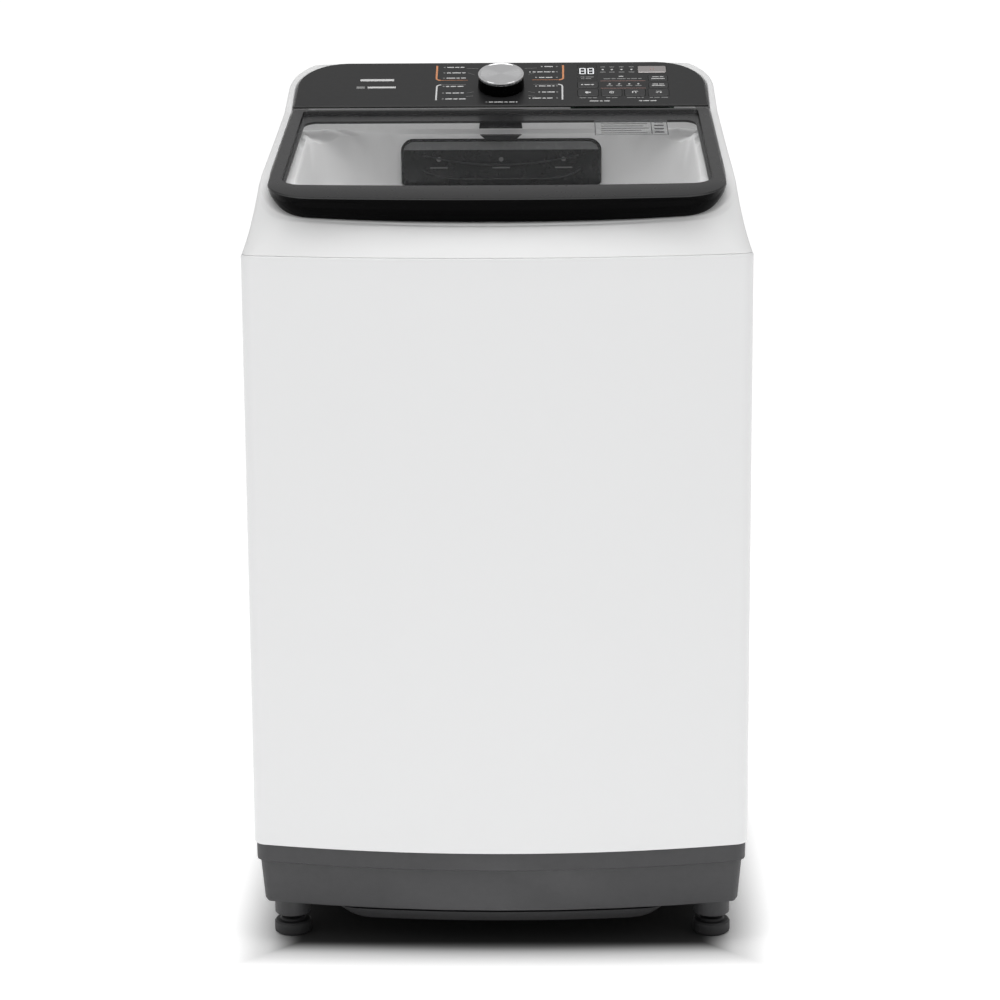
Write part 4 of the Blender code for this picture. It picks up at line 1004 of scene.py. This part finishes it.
def build_key_marks():
    """A plain mark on each key, which moves with the key. Three measures make a spot and four a bar."""
    marks = {
        "key_1": [(0.1090, 0.0330, 0.0026), (0.1110, 0.0318, 0.1138, 0.0342)],
        "key_2": [(0.1401, 0.0330, 0.0009)],
        "key_3": [(0.1660, 0.0350, 0.1735, 0.0361), (0.1660, 0.0305, 0.1672, 0.0361),
                  (0.1700, 0.0305, 0.1712, 0.0345)],
        "key_4": [(0.1960, 0.0345, 0.2035, 0.0357), (0.1960, 0.0308, 0.1990, 0.0320),
                  (0.2020, 0.0318, 0.0012)],
        "key_left": [(0.1030, 0.0543, 0.0013), (0.1060, 0.0533, 0.1125, 0.0553),
                     (0.1140, 0.0533, 0.1180, 0.0553)],
        "key_right_low": [(0.1925, 0.0540, 0.1995, 0.0556), (0.2010, 0.0540, 0.2070, 0.0556),
                          (0.1915, 0.0500, 0.2080, 0.0515)],
        "key_right_high": [(0.1930, 0.0742, 0.2010, 0.0758), (0.2025, 0.0742, 0.2070, 0.0758),
                           (0.1915, 0.0692, 0.2085, 0.0708)],
        "key_bar": [(0.1905, 0.0935, 0.1915, 0.1000), (0.1945, 0.0935, 0.1955, 0.1000)],
    }
    for node, places in marks.items():
        shapes = [ring_mark(0.1401, 0.0330, 0.0030, 0.0009)] if node == "key_2" else []
        for place in places:
            shapes.append(spot(*place, ON_KEY) if len(place) == 3 else bar(*place, ON_KEY))
        finish = PRINT_ROSE if node == "key_bar" else PRINT_WHITE
        piece(node + "_mark", merged(*shapes), node + "_body", finish)


def build_knob():
    centre = PANEL @ Matrix.Translation((0, KNOB_V, 0))
    lift = 0.0005
    r, h = KNOB_R, KNOB_H
    skirt = [
        (0, -0.0120), (0.0040, -0.0120), (0.0050, -0.0110), (0.0050, lift), (r - 0.0012, lift),
        (r - 0.0004, lift + 0.0004), (r, lift + 0.0014), (r - 0.0006, h * 0.45), (r - 0.0012, h - 0.0066),
        (r - 0.0018, h - 0.0058), (r - 0.0028, h - 0.0054), (0.0180, h - 0.0054), (0.0180, h - 0.0080),
        (0, h - 0.0080),
    ]
    face_r = r - 0.0036
    face = [(0, h - 0.0076), (0.0176, h - 0.0076), (0.0176, h - 0.0051), (face_r, h - 0.0051)]
    for k in range(7):
        share = k / 6
        face.append((face_r - face_r * share, h - 0.0007 - 0.0003 * (1 - (1 - share) ** 2)))
    rim = [
        (r - 0.0035, h - 0.0051), (r - 0.0016, h - 0.0051), (r - 0.0007, h - 0.0048),
        (r - 0.0004, h - 0.0040), (r - 0.0004, h - 0.0018), (r - 0.0007, h - 0.0009),
        (r - 0.0013, h - 0.0003), (r - 0.0021, h - 0.0001), (r - 0.0029, h - 0.0003),
        (r - 0.0035, h - 0.0008),
    ]
    for name, profile, segments, finish, replaced in (
        ("knob_skirt", skirt, 96, LID_GLOSS, ("knob_body",)),
        ("knob_face", face, 128, SPUN, ("knob_cap",)),
        ("knob_rim", rim, 128, BRIGHT, ()),
    ):
        piece(name, moved(lathe(profile, segments), centre), "knob", finish, 28, replaced, centre)


# ---- Dispenser drawer


def fascia_outline(inset, y, top_r=0.016):
    """The drawer's front outline, starting at its upper right corner."""
    low_r, turn = 0.006, 10
    half = DRAWER_HIGH.x - inset
    low, high = DRAWER_LOW.z + inset, DRAWER_HIGH.z - inset
    ring = []
    for cx, cz, r, start in (
        (half - top_r, high - top_r, top_r, 0.0),
        (-half + top_r, high - top_r, top_r, 0.5),
        (-half + low_r, low + low_r, low_r, 1.0),
        (half - low_r, low + low_r, low_r, 1.5),
    ):
        for k in range(turn + 1):
            angle = math.pi * (start + k / turn / 2)
            ring.append((cx + r * math.cos(angle), y, cz + r * math.sin(angle)))
    return ring


def build_drawer():
    y0 = DRAWER_LOW.y
    half, low, high = DRAWER_HIGH.x, DRAWER_LOW.z, DRAWER_HIGH.z
    steps = ((0.0014, 0.0), (0.0004, 0.0004), (0.0, 0.0014), (0.0, 0.0030), (0.0006, 0.0034))
    front = [fascia_outline(inset, y0 + y) for inset, y in steps]
    piece("drawer_front", loft(front), "drawer", SMOKE, 34, ("dispenser_drawer",))
    back, top = DRAWER_HIGH.y, high - 0.0085
    start, side, floor, divider = y0 + 0.0050, half - 0.003, low + 0.0034, 0.0440
    walls = [
        slab((-side, start, low + 0.0010), (side, back, floor - 0.0002)),
        slab((-side, back - CELL_WALL, floor), (side, back, top)),
        slab((-side, start, floor), (side, start + CELL_WALL, top)),
    ]
    front_end, rear_end = start + CELL_WALL + 0.0001, back - CELL_WALL - 0.0001
    for x in (-side + CELL_WALL / 2, -divider, divider, side - CELL_WALL / 2):
        walls.append(slab((x - CELL_WALL / 2, front_end, floor), (x + CELL_WALL / 2, rear_end, top)))
    for x in (-divider, divider):
        walls.append(slab((x - 0.0050, y0 + 0.0036, low + 0.004), (x + 0.0050, start - 0.0001, high - 0.003)))
    piece("drawer_cells", merged(*walls), "drawer", SMOKE_INNER, bevel=0.0004)
    band = []
    for y in (y0 - 0.0002, y0 + 0.0012):
        upper_half = fascia_outline(0.0022, y, 0.0140)[:24]
        band.append([(x, yy, max(z, high - 0.0125)) for x, yy, z in upper_half])
    piece("drawer_band", loft(band), "drawer", SMOKE_PALE)
    # The grip is a wide hollow under a curved brow
    across = [k / 16 - 1 for k in range(33)]
    brow = [(0.098 * t, y0 - 0.0002, low + 0.0265 + 0.0120 * t * t) for t in across]
    sill = [(0.100 * t, y0 - 0.0001, low + 0.0085 + 0.0120 * abs(t) ** 6) for t in across]
    piece("drawer_brow", tube(brow, 0.0010), "drawer", SMOKE_INNER)
    piece("drawer_sill", tube(sill, 0.0008), "drawer", SMOKE_INNER)
    marks = []
    button = lathe([(0, 0), (0.0030, 0), (0.0030, 0.0002), (0, 0.0002)], 16)
    z = low + 0.0335
    for x in (-0.0790, 0.0, 0.0790):
        place = Matrix.Translation((x, y0 - 0.0001, z)) @ Matrix.Rotation(math.pi / 2, 4, "X")
        marks.append(moved(button, place))
        marks.append(slab((x - 0.0110, y0 - 0.0002, z - 0.0115), (x + 0.0110, y0 + 0.0001, z - 0.0098)))
    piece("drawer_marks", merged(*marks), "drawer", PRINT_GREY)


# ---- Drum


def rib_share(angle):
    """How far the drum's wall is pressed in at an angle, from 0 to 1."""
    return 0.5 + 0.5 * math.cos(angle * DRUM_RIBS)


def build_basket():
    r, shaft_r = BASKET_HIGH.x, 0.0102
    low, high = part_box("pulsator")[0].z - 0.0060, BASKET_HIGH.z

    def ribs(angle, radius, z):
        if radius < r - 0.004:
            return 0.0
        fade = blend((z - low - 0.05) / 0.03) * blend((high - 0.02 - z) / 0.03)
        return -DRUM_RIB_DEPTH * fade * rib_share(angle)

    outer = [(r, low + 0.034 + (high - low - 0.034) * k / 20) for k in range(21)]
    inside = [(r - DRUM_WALL, z + 0.001) for _, z in outer[::-1]]
    inside[0] = (r - DRUM_WALL, high)
    underside = [
        (shaft_r, BASKET_LOW.z), (0.0165, BASKET_LOW.z), (0.0165, low - 0.012), (0.075, low - 0.004),
        (r - 0.034, low), (r - 0.020, low + 0.0035), (r - 0.010, low + 0.010), (r - 0.0035, low + 0.020),
    ]
    floor = [
        (r - 0.0050, low + 0.0215), (r - 0.012, low + 0.0125), (r - 0.022, low + 0.0058),
        (r - 0.035, low + 0.0025), (shaft_r, low + 0.0025),
    ]
    wall = lathe(underside + outer + inside + floor, 192, wave=ribs)
    piece("drum_wall", wall, "drum_group", DRUM_STEEL, 34, ("basket",))
    # Each hole is a dark disc in the wall, not an opening: painted shade in place of the view through it
    holes = []
    for row in range(HOLE_ROWS):
        centre = Matrix.Translation((0, 0, low + 0.062 + 0.0265 * row))
        for k in range(HOLES_ROUND):
            angle = 2 * math.pi * (k + 0.5 * (row % 2) + 0.25) / HOLES_ROUND
            turn = Matrix.Rotation(angle, 4, "Z") @ centre @ Matrix.Rotation(math.pi / 2, 4, "Y")
            out = r + 0.00025 - DRUM_RIB_DEPTH * rib_share(angle)
            deep = out - DRUM_WALL - 0.0005
            holes.append(moved(lathe([(0, deep), (HOLE_R, deep), (HOLE_R, out), (0, out)], 8), turn))
    piece("drum_holes", merged(*holes), "drum_group", HOLE_SHADE)


def build_balance_ring():
    low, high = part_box("balance_ring")
    r = high.x
    inner = r - 0.0390
    bottom, top = low.z, high.z
    profile = [
        (inner + 0.0040, bottom + 0.0002), (r - 0.0016, bottom), (r - 0.0003, bottom + 0.0012),
        (r, bottom + 0.0030), (r, top - 0.0050), (r - 0.0012, top - 0.0018), (r - 0.0040, top - 0.0002),
        (r - 0.0090, top), (r - 0.0280, top), (r - 0.0330, top - 0.0012), (r - 0.0368, top - 0.0045),
        (r - 0.0385, top - 0.0090), (inner, top - 0.0150), (inner, bottom + 0.0060),
        (inner + 0.0012, bottom + 0.0020),
    ]
    piece("balance_hoop", lathe(profile, 144), "drum_group", GREY_PART, 30, ("balance_ring",))


def build_pulsator():
    low_corner, high_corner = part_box("pulsator")
    low, r = low_corner.z, high_corner.x
    segments, steps, fins = 180, 44, 6

    def base(radius):
        return 0.0095 + 0.0085 * (1 - radius / r) + 0.030 * math.exp(-((radius / 0.034) ** 2))

    top = []
    for i in range(steps + 1):
        radius = 0.004 + (r - 0.004) * i / steps
        ring = []
        for k in range(segments):
            angle = 2 * math.pi * k / segments
            swing = angle - 1.1 * (radius / r) ** 2
            crest = max(math.cos(fins * swing), 0.0) ** 3
            fade = blend((radius - 0.018) / 0.030) * blend((r - 0.006 - radius) / 0.050)
            lift = 0.0225 * crest * fade * (1.15 - 0.75 * radius / r)
            z = min(low + base(radius) + lift, high_corner.z)
            ring.append((radius * math.cos(angle), radius * math.sin(angle), z))
        top.append(ring)
    edge = [(x, y, low + 0.0060) for x, y, _ in top[-1]]
    under = [(x * 0.94, y * 0.94, low + 0.0030) for x, y, _ in top[-1]]
    hub = [(x * 0.06 / r, y * 0.06 / r, low + 0.0045) for x, y, _ in top[-1]]
    piece("pulsator_disc", loft([*top, edge, under, hub]), "pulsator_group", GREY_PART, 40, ("pulsator",))
    steps_down = ((0, 0.006), (0.0135, 0.006), (0.0145, 0.0035), (0.0130, 0.0008), (0.0100, 0), (0, 0))
    cap = [(radius, high_corner.z - down) for radius, down in steps_down]
    piece("pulsator_cap", lathe(cap, 48), "pulsator_group", WHITE_PART, 30)


def build_springs():
    for i in range(1, 5):
        node = f"suspension_spring_{i}"
        low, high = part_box(node)
        x, y = (low.x + high.x) / 2, (low.y + high.y) / 2
        count = SPRING_TURNS * 20
        path = []
        for k in range(count + 1):
            t = k / count
            angle = 2 * math.pi * SPRING_TURNS * t
            z = low.z + SPRING_WIRE + (high.z - low.z - 2 * SPRING_WIRE) * t
            path.append((x + SPRING_R * math.cos(angle), y + SPRING_R * math.sin(angle), z))
        spring = piece(f"spring_coil_{i}", tube(path, SPRING_WIRE, 7), None, STEEL, replaces=(node,))
        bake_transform(spring)


def build_hose():
    """A ribbed hose from the pump to the outlet."""
    spots = [Vector(spot_at) for spot_at in (
        (0.1400, 0.1665, 0.2117), (0.1360, 0.1900, 0.2097), (0.1200, 0.2160, 0.2037),
        (0.0800, 0.2360, 0.2017), (0.0200, 0.2420, 0.2057), (-0.0600, 0.2420, 0.2197),
        (-0.1100, 0.2420, 0.2297), (-0.1380, 0.2480, 0.2337), (-0.1490, 0.2580, 0.2350),
        (-0.1500, 0.2633, 0.2350),
    )]
    path = []
    for i in range(len(spots) - 1):
        before, a, b = spots[max(i - 1, 0)], spots[i], spots[i + 1]
        after = spots[min(i + 2, len(spots) - 1)]
        steps = max(int((b - a).length / 0.0011), 3)
        for k in range(steps):
            t = k / steps
            bend = (2 * before - 5 * a + 4 * b - after) * t * t + (3 * a - before - 3 * b + after) * t**3
            path.append(a + ((b - before) * t + bend) / 2)
    path.append(spots[-1])
    # Ribs all along, but for a plain cuff at each end
    cuff_r, ribs, cuff_steps = 0.0122, (0.0124, 0.0119, 0.0112, 0.0119), 12
    radii = [ribs[i % 4] for i in range(len(path))]
    radii[:cuff_steps] = radii[-cuff_steps:] = [cuff_r] * cuff_steps
    hose = piece("ribbed_hose", tube(path, radii, 14), None, RUBBER, replaces=("drain_hose",))
    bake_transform(hose)


# ---- Back and small fittings


def screw(x, y, z, matrix):
    """A pan head with a small dimple, facing along local +Z of the matrix."""
    r = 0.0042
    profile = [
        (0, 0), (r, 0), (r, 0.0008), (r - 0.0006, 0.0017), (r - 0.0018, 0.0023), (0.0011, 0.0026),
        (0, 0.0012),
    ]
    return moved(lathe(profile, 24), Matrix.Translation((x, y, z)) @ matrix)


def build_back():
    low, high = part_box("rear_panel")
    facing = Matrix.Rotation(-math.pi / 2, 4, "X")
    heads = []
    for x in (-HALF_W + 0.0295, HALF_W - 0.0295):
        for k in range(6):
            z = low.z + 0.030 + (high.z - low.z - 0.060) * k / 5
            heads.append(screw(x, BACK - 0.0002, z, facing))
    piece("rear_screws", merged(*heads), "cabinet", ZINC, 30)
    # Pressed stiffening ribs across the rear sheet
    steps, half_length = 24, 0.170
    ribs = []
    for row in range(5):
        middle = low.z + 0.165 + 0.105 * row
        rib = []
        for t in range(steps + 1):
            x = -half_length + 2 * half_length * t / steps
            swell = blend(min(t, steps - t) / 3)
            ring = []
            for k in range(9):
                angle = math.pi * k / 8
                y = high.y - 0.0121 + 0.0035 * math.sin(angle) * swell
                ring.append((x, y, middle + 0.0080 * math.cos(angle) * (0.4 + 0.6 * swell)))
            rib.append(ring)
        ribs.append(loft(rib))
    piece("rear_ribs", merged(*ribs), "cabinet", ZINC, 50)


# ---- Finishes on the CAD nodes


def dress_frame():
    """Finishes and edge rounding of the nodes that keep their CAD shape."""
    for finish, bevel, nodes in (
        (ZINC, 0.0, "rear_panel"), (ZINC, 0.0006, "tub_bracket"), (BASE_GREY, 0.0009, "base_frame"),
        (TRAY_GREY, 0.0008, "base_tray"), (FOOT_BLACK, 0.0006, "foot_front_left foot_front_right"),
        (FOOT_BLACK, 0.0006, "foot_rear_left foot_rear_right"), (BAR_METAL, 0.0, "key_bar"),
        (PANEL_BLACK, 0.0, "control_panel"), (WINDOW, 0.0, "display_window"), (SHADED_BOARD, 0.0, "control_board"),
        (KEY_BLACK, 0.0, "key_1 key_2 key_3 key_4 key_left key_right_low key_right_high"),
        (CHUTE_BLACK, 0.0008, "water_chute"), (WHITE_PART, 0.0006, "inlet_valve dispenser_housing"),
        (WHITE_PART, 0.0, "lint_filter_left lint_filter_right"), (GREY_PART, 0.0008, "drain_pump"),
        (RUBBER, 0.0005, "drain_outlet"), (RUBBER, 0.0004, "cord_gland"), (TUB_GREY, 0.0008, "tub tub_cover"),
        (RUBBER, 0.0, "drive_belt lid_bumper_left lid_bumper_right"), (CASTING, 0.0006, "drive_pulley"),
        (CASTING, 0.0010, "clutch_housing motor"), (STEEL, 0.0, "wash_shaft motor_pulley"),
        (STEEL, 0.0, "hinge_pin_left hinge_pin_right"),
        (ZINC, 0.0, "suspension_rod_1 suspension_rod_2 suspension_rod_3 suspension_rod_4"),
    ):
        for node in nodes.split():
            dress(node, finish, bevel)


# ---- Camera, lights and floor


def build_camera():
    yaw, pitch, roll = [math.radians(angle) for angle in CAMERA_TURN]
    forward = Vector((math.sin(yaw) * math.cos(pitch), math.cos(yaw) * math.cos(pitch), -math.sin(pitch)))
    right = Vector((math.cos(yaw), -math.sin(yaw), 0.0))
    up = right.cross(forward)
    across = right * math.cos(roll) + up * math.sin(roll)
    upward = up * math.cos(roll) - right * math.sin(roll)
    data = bpy.data.cameras.new("camera")
    data.sensor_width = 36.0
    data.lens = CAMERA_LENS
    data.shift_y = CAMERA_SHIFT
    camera = add_object("camera", data)
    turn = Matrix((across, upward, -forward)).transposed().to_4x4()
    camera.matrix_world = Matrix.Translation(CAMERA_AT) @ turn
    bpy.context.scene.camera = camera


def softbox(name, spot_at, aim, size, power):
    data = bpy.data.lights.new(name, "AREA")
    data.shape = "RECTANGLE"
    data.size, data.size_y = size
    data.energy = power
    light = add_object(name, data)
    light.location = spot_at
    light.rotation_euler = (Vector(aim) - Vector(spot_at)).to_track_quat("-Z", "Y").to_euler()
    light.visible_camera = False


def floor_finish():
    """Pale matt floor. It glows softly away from the machine, and has a contact shadow painted on it, a dark
    colour right under the machine.
    """
    made = look("pale_floor", PALE, 0.75, grain=60, bump=0.0, strength=0.0, mottle=0.01, spread=0.03,
                specular=0.1)
    tree = made.node_tree
    shader = tree.nodes["Principled BSDF"]
    link = tree.links.new
    place = node_of(tree, "ShaderNodeTexCoord")
    split = node_of(tree, "ShaderNodeSeparateXYZ")
    link(place.outputs["Object"], split.inputs["Vector"])
    past = []
    for axis, half in (("X", HALF_W), ("Y", BACK)):
        distance = math_node(tree, "ABSOLUTE", split.outputs[axis])
        past.append(math_node(tree, "SUBTRACT", distance, half))
    outside = math_node(tree, "MAXIMUM", *past)
    glow = remap(tree, outside, -0.03, 0.06, 0.0, FLOOR_GLOW, interpolation_type="SMOOTHSTEP")
    # Painted contact shadow: the floor's colour goes dark right under the machine
    clear = remap(tree, outside, -0.055, -0.012, 0.0, 1.0, interpolation_type="SMOOTHSTEP")
    link(glow, shader.inputs["Emission Strength"])
    link(mix(tree, clear, FLOOR_SHADOW_COLOUR, PALE), shader.inputs["Base Color"])
    shader.inputs["Emission Color"].default_value = (1.0, 1.0, 1.0, 1.0)
    return made


def build_stage():
    ticks = [-FLOOR_HALF + 2 * FLOOR_HALF * k / FLOOR_STEPS for k in range(FLOOR_STEPS + 1)]
    points, faces = grid([[(x, y, 0.0) for x in ticks] for y in ticks])
    mesh = bpy.data.meshes.new("floor")
    mesh.from_pydata([tuple(p) for p in points], [], faces)
    floor = add_object("floor", mesh)
    mesh.materials.append(floor_finish())
    world = bpy.data.worlds.new("studio")
    bpy.context.scene.world = world
    world.use_nodes = True
    tree = world.node_tree
    background = tree.nodes["Background"]
    seen = node_of(tree, "ShaderNodeLightPath").outputs["Is Camera Ray"]
    strength = remap(tree, seen, 0.0, 1.0, WORLD_LIGHT, WORLD_SEEN)
    tree.links.new(strength, background.inputs["Strength"])
    background.inputs["Color"].default_value = (1.0, 1.0, 1.0, 1.0)
    softbox("soft_left", (-2.4, -2.1, 2.9), (0.0, -0.2, 0.6), (2.0, 2.2), 10.5)
    softbox("soft_right", (2.4, -2.1, 2.9), (0.0, -0.2, 0.6), (2.0, 2.2), 8.5)
    softbox("soft_top", (0.0, -0.8, 3.0), (0.0, 0.0, 0.9), (2.4, 1.4), 27.0)
    bpy.context.scene.view_settings.view_transform = "Standard"


build_camera()
build_cabinet()
build_cover()
build_back_wall()
build_lid()
build_label()
build_prints()
build_display()
build_key_marks()
build_knob()
build_drawer()
build_basket()
build_balance_ring()
build_pulsator()
build_springs()
build_hose()
build_back()
dress_frame()
build_stage()
